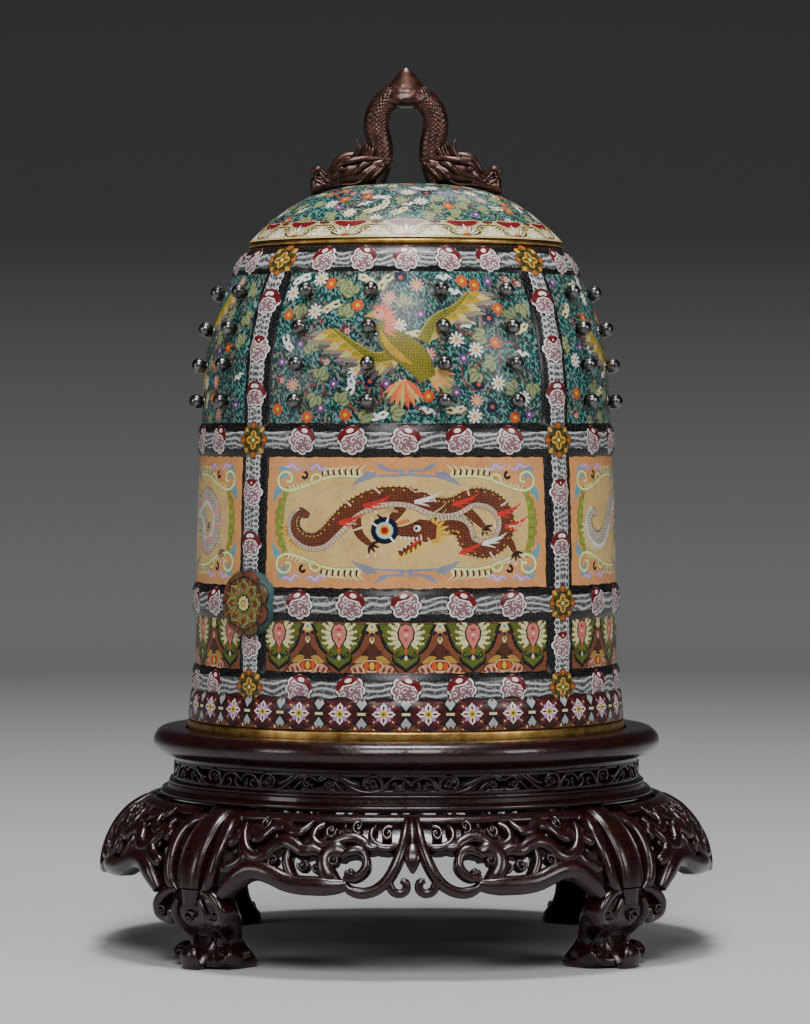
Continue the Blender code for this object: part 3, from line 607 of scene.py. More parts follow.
def draw_band_flowers():
    disc_step = 14.3 / 45 * QUARTER_WIDTH
    for row, centre in enumerate((LOW_RIB, LOWER_RIB, UPPER_RIB, TOP_RIB - 0.4)):
        size = 6.4 if row == 3 else DISC_RADIUS
        for i in range(-2, 3):
            disc(i * disc_step, centre, 1 if (i + row) % 2 else -1, size)
    lowest = (LOWER_RIB - LOW_RIB) / 2 + LOW_RIB
    middle = [LOWER_RIB + (UPPER_RIB - LOWER_RIB) * share for share in (0.36, 0.68)]
    upper = [UPPER_RIB + (TOP_RIB - UPPER_RIB) * share for share in (0.25, 0.5, 0.76)]
    for i, z in enumerate([lowest, *middle, *upper]):
        for sign in (-1, 1):
            disc(sign * QUARTER_WIDTH, z, sign if i % 2 else -sign, DISC_RADIUS * 0.94, 0)
    for sign in (-1, 1):
        for centre in (LOW_RIB, LOWER_RIB, UPPER_RIB, TOP_RIB - 0.4):
            rosette(sign * QUARTER_WIDTH, centre, 8.0 if centre > UPPER_RIB + 9 else 9.2)


# %% [markdown]
# ## The foot: roundels and lappets
#
# The lowest band is a chain of maroon roundels, each with a four-petalled flower, and over it
# hang pointed green lappets between brown and rose triangles.

# %% Roundels
ROUNDELS = 8


def roundel(x, y, width, height):
    paint(oval(x, y, width, height, 0, 22), BLACK)
    paint(oval(x, y, width - 1.5, height - 1.5, 0, 22), MAROON, MOTTLED)
    for i in range(4):
        turn = math.pi / 4 + i * math.pi / 2
        paint(
            leaf(x + 2.2 * math.cos(turn), y + 1.8 * math.sin(turn), 7.4, 3.6, turn, 0.5), srgb(96, 40, 40),
            MOTTLED,
        )
        paint(
            sliver(x + 8.2 * math.cos(turn), y + 6.4 * math.sin(turn), 2.4, 1.2, turn + math.pi / 2), BLACK,
        )
        paint(leaf(x, y, 4.6, 3.4, turn, 0.6), LILAC)
        paint(sliver(x + 6 * math.cos(turn), y + 5.2 * math.sin(turn), 1.7, 0.7, turn), CREAM)
    for i in range(4):
        turn = i * math.pi / 2
        paint(leaf(x, y, 5.4, 3.0, turn, 0.72), WHITE)
        paint(leaf(x + 1.8 * math.cos(turn), y + 1.8 * math.sin(turn), 2.6, 1.1, turn), CAP_RED)
    paint(lobed_ring(x, y, 2.0, 8, 0.35, 0, 3), YELLOW)
    paint(oval(x, y, 1.6, 1.6, 0, 8), OLIVE)


def draw_roundels():
    left, right, low, high = -QUARTER_WIDTH - 2, QUARTER_WIDTH + 2, BODY_BOTTOM - 2, BODY_BOTTOM + 6
    paint([(left, low), (right, low), (right, high), (left, high)], srgb(112, 60, 36), MOTTLED)
    step = 2 * QUARTER_WIDTH / ROUNDELS
    middle = (BODY_BOTTOM + ROUNDEL_TOP) / 2 + 0.9
    for i in range(ROUNDELS + 1):
        x = -QUARTER_WIDTH + i * step
        for sign in (-1, 1):
            fan = [(0, 0.4), (2.4, 3.6), (1.4, 5.4), (0, 6.0), (-1.4, 5.4), (-2.4, 3.6)]
            paint(placed([(px * 1.35, py * sign * 1.15) for px, py in fan], x, middle + sign * 0.6), BLACK)
            paint(placed([(px, py * sign) for px, py in fan], x, middle + sign * 1.2), srgb(158, 160, 158))
            paint(oval(x, middle + sign * 6.4, 1.5, 1.2, 0, 6), CAP_RED)
        for k in range(7):
            paint(
                oval(x + (k - 3) * step / 7, BODY_BOTTOM + 1.5, 1.2, 1.6, 0, 6),
                (MAROON, OLIVE, CREAM)[k % 3],
            )
    for i in range(ROUNDELS):
        roundel(-QUARTER_WIDTH + (i + 0.5) * step, middle, step - 1.6, 16.2)
    for i in range(ROUNDELS + 1):
        x = -QUARTER_WIDTH + i * step
        paint(
            [
                (x - 1.9, middle - 0.65), (x + 1.9, middle - 0.65), (x + 1.9, middle + 0.65),
                (x - 1.9, middle + 0.65),
            ],
            CREAM,
        )


# %% Lappets
LAPPET_LOW = LOW_RIB + RIB_HALF
LAPPET_HIGH = LOWER_RIB - RIB_HALF
LAPPET_STEP = 20 / 45 * (QUARTER_WIDTH - RIB_HALF) * 0.985


def lappet(x, low, high):
    """One green lappet hanging point down, with a rose teardrop and cream fronds in it."""
    tall = high - low
    half = [
        (0, 0), (2.0, 1.8), (5.6, 4.2), (6.6, 6.6), (6.2, 9.0), (7.6, 9.6), (10.2, 12.6), (11.6, 16.0),
        (12.4, 20.0), (14.4, 24.0),
    ]
    half = [(px, py * tall / 24) for px, py in half]
    ring = half + [(-px, py) for px, py in reversed(half[1:])]
    paint(placed(ring, x, low - 0.4), BLACK)
    inner = [(px * 0.93, py * 0.94 + 1.1) for px, py in ring]
    paint(placed(inner, x, low), srgb(44, 62, 34), MOTTLED)
    paint(placed([(px * 0.86, py * 0.9 + 1.8) for px, py in ring], x, low), OLIVE, MOTTLED)
    for sign in (-1, 1):
        for k in range(6):
            turn = math.pi / 2 + sign * (0.55 + 0.36 * k)
            start = (x - sign * 1.4, low + tall * (0.80 - 0.03 * k))
            paint(leaf(*start, 8.6 - 0.6 * k, 2.0, turn, 0.75), CREAM)
            tip = (start[0] + (8.2 - 0.6 * k) * math.cos(turn), start[1] + (8.2 - 0.6 * k) * math.sin(turn))
            paint(oval(*tip, 1.5, 1.5, 0, 6), CREAM)
        ribbon(curl_path(x + sign * 3.4, low + tall * 0.34, 1.7, math.pi / 2, -sign * 0.9, 7), 0.6, BLACK)
        ribbon(curl_path(x + sign * 9.2, low + tall * 0.62, 1.5, math.pi / 2, sign * 0.9, 7), 0.55, BLACK)
        for k in range(3):
            paint(
                oval(x + sign * (5.4 + 2.6 * k), low + tall * (0.42 + 0.17 * k), 1.1, 1.1, 0, 6),
                (SCARLET, CREAM, ORANGE)[k],
            )
    drop = [(0, -9.6), (1.1, -7.2), (3.0, -3.8), (3.4, -0.6), (2.4, 2.0), (0, 3.0)]
    drop += [(-px, py) for px, py in reversed(drop[1:-1])]
    paint(placed([(px * 1.22, py * 1.1) for px, py in drop], x, high - 3.4), BLACK)
    paint(placed(drop, x, high - 3.4), srgb(196, 118, 110), MOTTLED)
    for k in range(3):
        paint(oval(x, high - 3.2 - 2.3 * k, 2.6 - 0.7 * k, 1.5, 0, 8), SCARLET if k != 1 else CREAM)
    paint(leaf(x, low + tall * 0.50, 3.2, 2.0, -math.pi / 2), ORANGE)
    paint(leaf(x, low + tall * 0.34, 2.6, 1.6, -math.pi / 2), CREAM)
    for sign in (-1, 1):
        paint(leaf(x + sign * 0.5, low + tall * 0.36, 3.6, 1.6, -math.pi / 2 + sign * 0.75), NAVY)


def between_lappets(x, low, high):
    """The brown triangle between two lappets, with a yellow flower at its point."""
    paint(
        [
            (x - 13, low - 1), (x + 13, low - 1), (x + 10, low + 3.6), (x + 5, low + 8), (x, low + 15),
            (x - 5, low + 8), (x - 10, low + 3.6),
        ],
        UMBER, MOTTLED,
    )
    paint(
        [
            (x - 12, low - 1), (x + 12, low - 1), (x + 9.5, low + 2.4), (x + 5.6, low + 4.4),
            (x - 5.6, low + 4.4), (x - 9.5, low + 2.4),
        ],
        srgb(190, 142, 112), MOTTLED,
    )
    for k in range(-4, 5):
        paint(leaf(x + 2.4 * k, low - 0.6, 3.4, 1.5, math.pi / 2 - 0.2 * k), srgb(110, 50, 40))
    for sign in (-1, 1):
        wired(
            leaf(x + sign * 1.6, low + 7.0, 7.6, 3.6, math.atan2(-2.6, sign * 6.5)), srgb(168, 130, 60),
            MOTTLED, BLACK, 0.3, 0.0,
        )
        ribbon(curl_path(x + sign * 3.4, low + 9.0, 1.3, 0, sign * 0.9, 6), 0.5, BLACK)
    wired(oval(x, low + 2.7, 9.4, 5.0, 0, 16), srgb(150, 60, 40), MOTTLED, CREAM, 0.4, 0.0)
    for k in range(-1, 2):
        wired(
            oval(x + 2.6 * k, low + 2.7, 2.4, 4.0, 0, 10), (ORANGE, YELLOW)[k == 0], MOTTLED, CAP_RED, 0.3,
            0.0,
        )
    for k in range(5):
        turn = -math.pi / 2 + (k - 2) * 0.62
        paint(leaf(x, high - 1.0, 6.0, 2.2, turn), NAVY if k % 2 else srgb(58, 22, 58))
    paint(leaf(x, high - 6.2, 3.6, 2.4, -math.pi / 2), CREAM)
    paint(leaf(x, high - 6.4, 2.2, 1.2, -math.pi / 2), OLIVE)
    paint(lobed_ring(x, high - 1.6, 3.3, 10, 0.28, 0, 3), YELLOW)
    paint(lobed_ring(x, high - 1.6, 2.1, 10, 0.2, 0, 3), CREAM)
    paint(oval(x, high - 1.6, 1.6, 1.6, 0, 8), LEAF_BLUE)


def draw_lappet_panel():
    wobbly_panel(-PANEL_EDGE, PANEL_EDGE, LAPPET_LOW, LAPPET_HIGH, srgb(120, 70, 48), MOTTLED)
    open_panel()
    for i in range(-2, 2):
        between_lappets((i + 0.5) * LAPPET_STEP, LAPPET_LOW + 0.6, LAPPET_HIGH - 0.4)
    for i in range(-2, 3):
        lappet(i * LAPPET_STEP, LAPPET_LOW + 0.4, LAPPET_HIGH - 0.3)
    close_panel()


# %% [markdown]
# ## The dragon panel
#
# A long panel in peach, with a honey-coloured cartouche and scrolling leaves round it. In it
# flies a dragon of the usual kind, long, scaled and bearded, after a flaming pearl. The body is
# a ribbon along a smooth line, so its belly, spines and scales all follow the same path.

# %% Scrolls round the cartouche
DRAGON_LOW = LOWER_RIB + RIB_HALF
DRAGON_HIGH = UPPER_RIB - RIB_HALF
DRAGON_MIDDLE = (DRAGON_LOW + DRAGON_HIGH) / 2


def corner_scroll(x_sign, y_sign):
    """The leafy scroll of one corner, drawn for the upper right and turned over for the others."""

    def at(points):
        return [(x_sign * px, DRAGON_MIDDLE + y_sign * py) for px, py in points]

    for k in range(4):
        feather = [(58.5 + k * 0.5, 24.2 - k * 1.1), (61.6, 26.4 - k * 1.2), (64.4, 25.6 - 1.9 * k)]
        ribbon(at(smooth_path(feather, 3)), 1.2, LEAF_BLUE)
    for k in range(4):
        feather = [(62.6, 18 - k * 1.2), (65.6, 16.4 - 1.2 * k), (66.8, 13.0 - k)]
        ribbon(at(smooth_path(feather, 3)), 1.1, LEAF_BLUE)
    stem = smooth_path(
        [
            (16, 24.4), (22, 22.2), (32, 22.4), (42, 20.4), (50, 17.2), (58, 15.2), (63.4, 17.0),
            (64.6, 21.2), (61.4, 24.2), (57.4, 23.0), (57.0, 19.8), (59.6, 19.4),
        ],
        4,
    )
    ribbon(at(stem), 1.9, FRET_GREEN)
    ribbon(at(stem), 1.25, SCROLL)
    curl = smooth_path(
        [(42, 20.4), (45.6, 18.6), (46.0, 21.6), (43.4, 23.2), (41.2, 21.6), (42.4, 19.6)], 3,
    )
    ribbon(at(curl), 1.7, FRET_GREEN)
    ribbon(at(curl), 1.1, SCROLL)
    for k in range(7):
        root = (21.5 + 2.9 * k, 22.9 + (0.2 if k % 2 else 0))
        tip = (root[0] - 2.4, root[1] + 4.8 - 0.35 * k)
        blade = smooth_path([root, (root[0] + 0.6, root[1] + 2.4), tip], 3)
        ribbon(at([(px + 0.9, py - 0.3) for px, py in blade]), tapering(1.5), BLACK)
        ribbon(at(blade), tapering(1.7), SCROLL)
    for k in range(4):
        root = (50.5 + 2.2 * k, 16.6 - 0.4 * k)
        ribbon(at([root, (root[0] + 1.6, root[1] + 2.6)]), tapering(1.3), SCROLL)
    hook = curl_path(
        x_sign * 50.0, DRAGON_MIDDLE + y_sign * 22.4, 1.9, math.pi / 2, x_sign * y_sign * 0.75, 7, 0.5,
    )
    ribbon(hook, 1.4, BLACK)
    for start, lean in ((38, 0.0), (51, 0.6)):
        cloud = smooth_path(
            [
                (start, 27.2), (start + 3.2, 25.2), (start + 5.4, 27.6), (start + 8.2, 25.8 + lean),
                (start + 11, 27.4),
            ],
            4,
        )
        ribbon(at(cloud), swelling(2.6, 0.1), LILAC, MOTTLED)
        ribbon(at(cloud), swelling(1.1, 0.1), srgb(206, 180, 206))
    wing = [(13.5, 24.0), (18.5, 24.6), (23.0, 21.0), (26.0, 17.6), (20.5, 19.6), (15.5, 21.0)]
    paint(at(wing), BRACKET)
    bar = [(0.9, 23.4), (15, 22.6), (15, 21.6), (0, 22.2), (0, 23.4)]
    paint(at(bar), BRACKET)
    fret = [
        (1.0, 23.3), (1.0, 25.6), (7.5, 25.6), (10.5, 27.4), (15.0, 29.2), (12.4, 25.4), (8.0, 24.2),
        (3.0, 24.2), (3.0, 23.3),
    ]
    paint(at(fret), BRACKET)


def end_fret(sign):
    """The green cloud fret at one end of the cartouche."""
    for k in range(7):
        y = (k - 3) * 4.6
        x = 62.2 - 0.09 * y * y / 4
        wired(
            lobed_ring(sign * (x + 1.0), DRAGON_MIDDLE + y, 3.0, 5, 0.3, 0.5 * k, 3), FRET_GREEN, MOTTLED,
            srgb(86, 100, 40), 0.3, 0.0,
        )
        paint(oval(sign * (x + 1.0), DRAGON_MIDDLE + y, 1.1, 1.1, 0, 6), PEACH)


# %% The dragon
def beast(hide, belly, back, pale):
    """A dragon that flies across the cartouche; its colours are given, its form is the same."""

    def at(points):
        return [(px, DRAGON_MIDDLE + py) for px, py in points]

    spine = smooth_path(
        [
            (-47, 3), (-52, 5), (-55.5, 1), (-54.5, -5), (-48, -9.4), (-40, -8.6), (-33, -2), (-25, 6),
            (-13, 11.6), (1, 11.8), (13, 7.4), (22, 7.0), (32, 11.6), (42, 9.6), (48, 2.0), (46, -7.4),
            (38, -12.2), (30, -9.6), (27, -2.4), (21, -0.6), (13, -2.0),
        ],
        6,
    )
    thickness = lambda share: 1.8 + 8.0 * min(1, share * 3.2) ** 0.7 * (1 - 0.22 * share)
    left, right = ribbon_edges(spine, thickness)
    for i in range(2, len(spine) - 3):
        base, out = Vector(left[i]), Vector(left[i]) - Vector(spine[i])
        out.normalize()
        along = Vector((out.y, -out.x))
        tip = base + out * 1.5 + along * 0.5
        paint(at([tuple(base - along * 0.55), tuple(base + along * 0.55), tuple(tip)]), back)
    for x, y, turn in ((-52, -6, 3.6), (-54, -7, 4.2), (-50, -8.6, 4.6), (-56, -4, 3.2)):
        for lean in (-0.5, 0.0, 0.5):
            paint(at(leaf(x, y, 7.4, 1.9, turn + lean)), YELLOW if not pale else CREAM)
            paint(at(leaf(x, y, 4.8, 1.0, turn + lean)), ORANGE if not pale else YELLOW)
    for joint in (
        [(-24, 3), (-22, -5), (-17, -10)], [(26, 8), (33, 2.0), (37, -2.0)],
        [(44, -6), (50, -9), (53, -14)], [(-2, 8), (-6, 2.5), (-10, 1)],
    ):
        limb = smooth_path(joint, 4)
        ribbon(at(limb), tapering(5.6, 0.45), back)
        ribbon(at(limb), tapering(4.6, 0.45), hide, SCALED)
        end, before = Vector(limb[-1]), Vector(limb[-3])
        heading = math.atan2(end.y - before.y, end.x - before.x)
        for k in range(4):
            turn = heading + (k - 1.5) * 0.62
            paint(at(leaf(end.x, end.y, 5.4, 1.5, turn)), back)
            tip = (end.x + 4.9 * math.cos(turn), end.y + 4.9 * math.sin(turn))
            paint(at(leaf(*tip, 2.2, 1.0, turn - 0.5)), WHITE)
        for k in range(3):
            flame = smooth_path(
                [
                    limb[2], (limb[2][0] - 5 - 2 * k, limb[2][1] + 1.5 * k),
                    (limb[2][0] - 11 - 2 * k, limb[2][1] - 2 + 2.2 * k),
                ],
                4,
            )
            ribbon(at(flame), tapering(0.9), srgb(170, 146, 100) if not pale else srgb(196, 176, 140))
    ribbon(at(spine), lambda share: thickness(share) + 0.7, back)
    ribbon(at(spine), thickness, hide, SCALED)
    belly_line = [tuple(Vector(r).lerp(Vector(s), 0.24)) for r, s in zip(right, spine)]
    ribbon(at(belly_line[6:-2]), lambda share: 0.26 * thickness(share * 0.9 + 0.1), belly)
    for i in range(8, len(spine) - 3):
        ribbon(at([right[i], tuple(Vector(right[i]).lerp(Vector(spine[i]), 0.44))]), 0.28, back)
        crest = Vector(left[i]).lerp(Vector(spine[i]), 0.22)
        if i % 2:
            paint(at(oval(*crest, 0.9, 0.9, 0, 5)), YELLOW if not pale else CREAM)
    flames = ((-20, 8.2), (-32, 0), (4, 10), (22, 9), (44, 4), (36, -10), (24, -14), (48, -2))
    for number_of, start in enumerate(flames):
        colour = WHITE if number_of % 3 == 2 else SCARLET
        for k in range(4):
            path = smooth_path(
                [
                    start, (start[0] + 3 + 2 * k, start[1] - 0.8 + 1.2 * k),
                    (start[0] + 7 + 2 * k, start[1] - 2 + 2.4 * k),
                ],
                3,
            )
            ribbon(at(path), tapering(1.7), colour if not pale else PINK)
    tendrils = (
        ((-26, 8), (-34, 14), (-40, 11), (-46, 15)), ((-12, 14), (-18, 18), (-26, 15), (-32, 18)),
        ((14, 10), (10, 15), (4, 15), (0, 18)),
        ((30, 13), (28, 17), (21, 16), (16, 19)), ((46, 8), (52, 12), (51, 16), (56, 18)),
        ((50, -2), (56, -1), (55, 4), (58, 7)),
        ((40, -14), (43, -18), (49, -16), (53, -19)), ((26, -12), (22, -16), (16, -15), (12, -18)),
        ((-20, -2), (-27, -5), (-31, -12), (-38, -14)),
    )
    for path in tendrils:
        line = smooth_path(path, 4)
        ribbon(at(line), tapering(1.3, 0.25), srgb(150, 96, 74))
        ribbon(at(line), tapering(0.85, 0.2), srgb(222, 190, 166))
    head(at, hide, back, pale)
    pearl(at, -10.0, -3.6)


def head(at, hide, back, pale):
    """The dragon's head, seen from the side with an open mouth."""
    for k in range(9):
        turn = -1.5 + k * 0.36
        paint(at(leaf(11.5, -4.2, 9.6 - 0.5 * abs(k - 4), 2.3, turn)), YELLOW if not pale else CREAM)
        paint(at(leaf(11.5, -4.2, 6.2, 1.2, turn + 0.14)), ORANGE if not pale else YELLOW)
    for lift in (0.0, 3.2):
        horn = smooth_path([(9, -1.0), (12, 2.6 + lift * 0.4), (16.6, 4.0 + lift), (19.0, 6.6 + lift)], 4)
        ribbon(at(horn), tapering(1.8), UMBER)
        ribbon(at(horn), tapering(1.0), CREAM)
    upper = [
        (14, -1.4), (10.6, 0.8), (6.4, 1.4), (3.0, -0.4), (-0.4, -1.8), (-3.6, -2.2), (-5.0, -4.2),
        (-3.6, -6.0), (0.6, -6.2), (4.6, -6.6), (9.0, -8.8), (13.6, -7.2),
    ]
    lower = [
        (9.6, -7.0), (6.4, -10.6), (1.6, -14.2), (-2.6, -15.6), (-3.6, -13.8), (0.4, -11.4), (3.2, -8.8),
        (5.2, -6.8),
    ]
    paint(at(grown(lower, 0.4)), back)
    paint(at(lower), hide, SCALED)
    paint(at([(8.6, -7.2), (5.6, -9.2), (1.2, -12.4), (3.4, -8.6), (5.0, -6.8)]), SCARLET)
    paint(at(grown(upper, 0.4)), back)
    paint(at(upper), hide, SCALED)
    for k in range(6):
        paint(at(leaf(-2.4 + 1.9 * k, -6.2 - 0.1 * k, 1.9, 0.9, -math.pi / 2)), WHITE)
        paint(at(leaf(-1.8 + 1.8 * k, -13.4 + 1.3 * k, 1.6, 0.8, math.pi / 2 + 0.4)), WHITE)
        paint(
            at(leaf(-2.4 + 2.0 * k, -15.4 + 1.4 * k, 3.6, 1.3, -2.0 + 0.1 * k)),
            YELLOW if not pale else CREAM,
        )
        paint(at(leaf(-4.4 + 1.2 * k, -1.8 + 0.4 * k, 2.6, 1.0, 2.2)), ORANGE)
    paint(at(oval(5.2, -2.6, 3.4, 3.2)), WHITE)
    paint(at(oval(4.8, -2.6, 1.5, 1.6, 0, 8)), BLACK)
    paint(at(leaf(7.6, -0.8, 4.6, 1.4, math.pi - 0.2)), back)
    for path in (
        [(-4, -3), (-10, -8), (-8, -13), (-15, -17)], [(-3, -6), (-7, -12), (-13, -13), (-19, -18)],
        [(10, -7), (14, -12), (20, -13), (25, -17)],
    ):
        ribbon(at(smooth_path(path, 5)), tapering(0.9), srgb(198, 170, 118))


def pearl(at, x, y):
    """The pearl: rings of colour on a dark blue disc, with three white rays."""
    for size, colour in (
        (13.0, srgb(22, 26, 44)), (8.2, srgb(132, 180, 190)), (6.6, srgb(224, 214, 168)),
        (5.2, srgb(214, 150, 60)), (3.2, srgb(150, 38, 24)),
    ):
        paint(at(oval(x, y, size, size, 0, 20)), colour)
    for turn in (1.3, 2.6, 5.4):
        root = (x + 3.8 * math.cos(turn), y + 3.8 * math.sin(turn))
        ribbon(at([root, (x + 7.4 * math.cos(turn), y + 7.4 * math.sin(turn))]), tapering(1.2, 0.5), WHITE)


def draw_dragon_panel(pale):
    wobbly_panel(-PANEL_EDGE, PANEL_EDGE, DRAGON_LOW, DRAGON_HIGH, PEACH, MOTTLED)
    open_panel()
    for sign in (-1, 1):
        end_fret(sign)
    turns = [math.pi / 2 * (k / 8) for k in range(9)]
    reach, tall = 61.0, 22.4
    quarter = [(reach * math.cos(t) ** 0.38, tall * math.sin(t) ** 0.62) for t in turns]
    ring = quarter + [(-px, py) for px, py in quarter[-2::-1]]
    ring += [(-px, -py) for px, py in quarter[1:]] + [(px, -py) for px, py in quarter[-2:0:-1]]
    wired([(px, DRAGON_MIDDLE + py) for px, py in ring], CARTOUCHE, MOTTLED, srgb(140, 120, 60), 0.3, 0.4)
    for x_sign in (-1, 1):
        for y_sign in (-1, 1):
            corner_scroll(x_sign, y_sign)
    if pale:
        beast(srgb(192, 184, 170), WHITE, srgb(120, 96, 80), True)
    else:
        beast(srgb(112, 62, 44), srgb(196, 176, 152), srgb(58, 34, 24), False)
    close_panel()


# %% [markdown]
# ## The upper panel
#
# Between the rows of balls, the panel is packed with small things on turquoise: strokes of dark
# green leaf, daisies, olive leaves, red vines, cream clouds, and a phoenix across the middle.
# Such packing is drawn by chance from a fixed seed, with larger things kept apart.

# %% Small flowers and leaves
PHOENIX_LOW = UPPER_RIB + RIB_HALF
PHOENIX_HIGH = TOP_RIB - TOP_RIB_HALF


def daisy(x, y, radius, petals, colour, heart, turn=0.0):
    """A flower in one outline, cut in between its petals, with a heart."""
    paint(lobed_ring(x, y, radius, petals, 0.62, turn, 4 if petals > 8 else 3, 0.7), colour)
    paint(oval(x, y, radius * 0.66, radius * 0.66, turn, 5), heart)


def vine_leaf(x, y, size, turn):
    """A broad leaf of three blades, pale inside and outlined in olive."""
    for lean, share in ((-0.9, 0.8), (0.9, 0.8), (0.0, 1.0)):
        ring = leaf(x, y, size * share, size * 0.62, turn + lean, 0.5)
        wired(ring, OLIVE_PALE, MOTTLED, OLIVE, 0.45, 0.0)
        reach = size * share * 0.8
        ribbon([(x, y), (x + reach * math.cos(turn + lean), y + reach * math.sin(turn + lean))], 0.4, OLIVE)


def coral(x, y, size, colour, turn=0.0):
    """A cloud with knobbed arms, like a branch of coral."""
    arms = ((0.2, 1.0, 0.9), (1.5, 0.8, -0.9), (2.7, 1.0, 0.8), (4.1, 0.75, -0.8))
    for around, reach, curve in arms:
        heading = turn + around
        middle = (x + size * 0.5 * reach * math.cos(heading), y + size * 0.4 * reach * math.sin(heading))
        tip = (
            middle[0] + size * 0.45 * math.cos(heading + curve),
            middle[1] + size * 0.4 * math.sin(heading + curve),
        )
        ribbon(smooth_path([(x, y), middle, tip], 2), tapering(1.9, 0.5), colour)
        paint(oval(*tip, 1.8, 1.8, 0, 6), colour)


def wisp(x, y, size, colour, turn=0.0):
    """A small curling cloud."""
    line = smooth_path([(-1, 0), (-0.5, 0.3), (0, -0.1), (0.5, 0.25), (1, -0.1)], 3)
    line = placed([(px * size, py * size) for px, py in line], x, y, turn)
    ribbon(line, swelling(size * 0.34, 0.1), colour)
    for px, py in ((-0.45, 0.2), (0.3, 0.2)):
        spot = placed([(px * size, py * size)], x, y, turn)[0]
        ribbon(curl_path(*spot, size * 0.28, turn, 0.9, 6), 0.7, colour)


def scatter_leaves(low, high, half_width, count):
    """Strokes of green in small sprays, all over the ground."""
    for _ in range(count):
        x, y = random.uniform(-half_width, half_width), random.uniform(low, high)
        lean = random.uniform(0, math.pi)
        for k in range(3):
            turn = lean + (k - 1) * 0.75
            length = random.uniform(1.5, 2.6)
            spot = (x + 1.5 * (k - 1) + random.uniform(-0.4, 0.4), y + random.uniform(-1.2, 1.2))
            paint(sliver(*spot, length, 0.85, turn), LEAF_GREEN if random.random() < 0.6 else DEEP_GREEN)


def scatter_flowers(low, high, half_width, spacing, avoid=(), on_wall=True):
    """Flowers, leaves and wisps, kept a distance apart and away from the places to avoid."""
    taken = list(avoid)
    kinds = 0
    for _ in range(2600):
        x, y = random.uniform(-half_width + 3, half_width - 3), random.uniform(low + 2.6, high - 2.6)
        if any((x - tx) ** 2 + (y - ty) ** 2 < spacing**2 for tx, ty in taken):
            continue
        taken.append((x, y))
        kinds += 1
        turn = random.uniform(0, 6.28)
        choice = kinds % 16
        widen_about(x, y if on_wall else None)
        if choice in (0, 9):
            daisy(x, y, 3.9, 9, WHITE, YELLOW, turn)
        elif choice in (1, 7):
            daisy(x, y, 3.3, 7, ORANGE, YELLOW, turn)
        elif choice == 2:
            daisy(x, y, 3.6, 10, PINK, YELLOW, turn)
        elif choice == 3:
            daisy(x, y, 3.5, 8, NAVY, ORANGE, turn)
        elif choice in (4, 8, 12, 14):
            vine_leaf(x, y - 1.5, 6.4, turn)
        elif choice in (6, 13):
            coral(x, y, 5.2, CREAM if choice == 6 else WHITE, turn)
        elif choice in (5, 10):
            daisy(x, y, 2.5, 5, PURPLE, CREAM, turn)
        elif choice == 11:
            wisp(x, y, 4.2, WHITE, random.uniform(-0.6, 0.6))
        else:
            ribbon(curl_path(x, y, 2.4, turn, 1.1, 8), 0.8, VINE_RED)
            daisy(x + 1.2, y - 1.0, 1.7, 5, PINK, ORANGE)
    widen_about(0)


# %% The phoenix
def feather_fan(x, y, turn, spread, length, count, colours, width=2.2):
    for k in range(count):
        lean = turn + spread * (k / (count - 1) - 0.5)
        paint(
            leaf(x, y, length * (0.85 + 0.15 * math.sin(math.pi * k / (count - 1))), width, lean, 0.62),
            colours[k % len(colours)],
        )


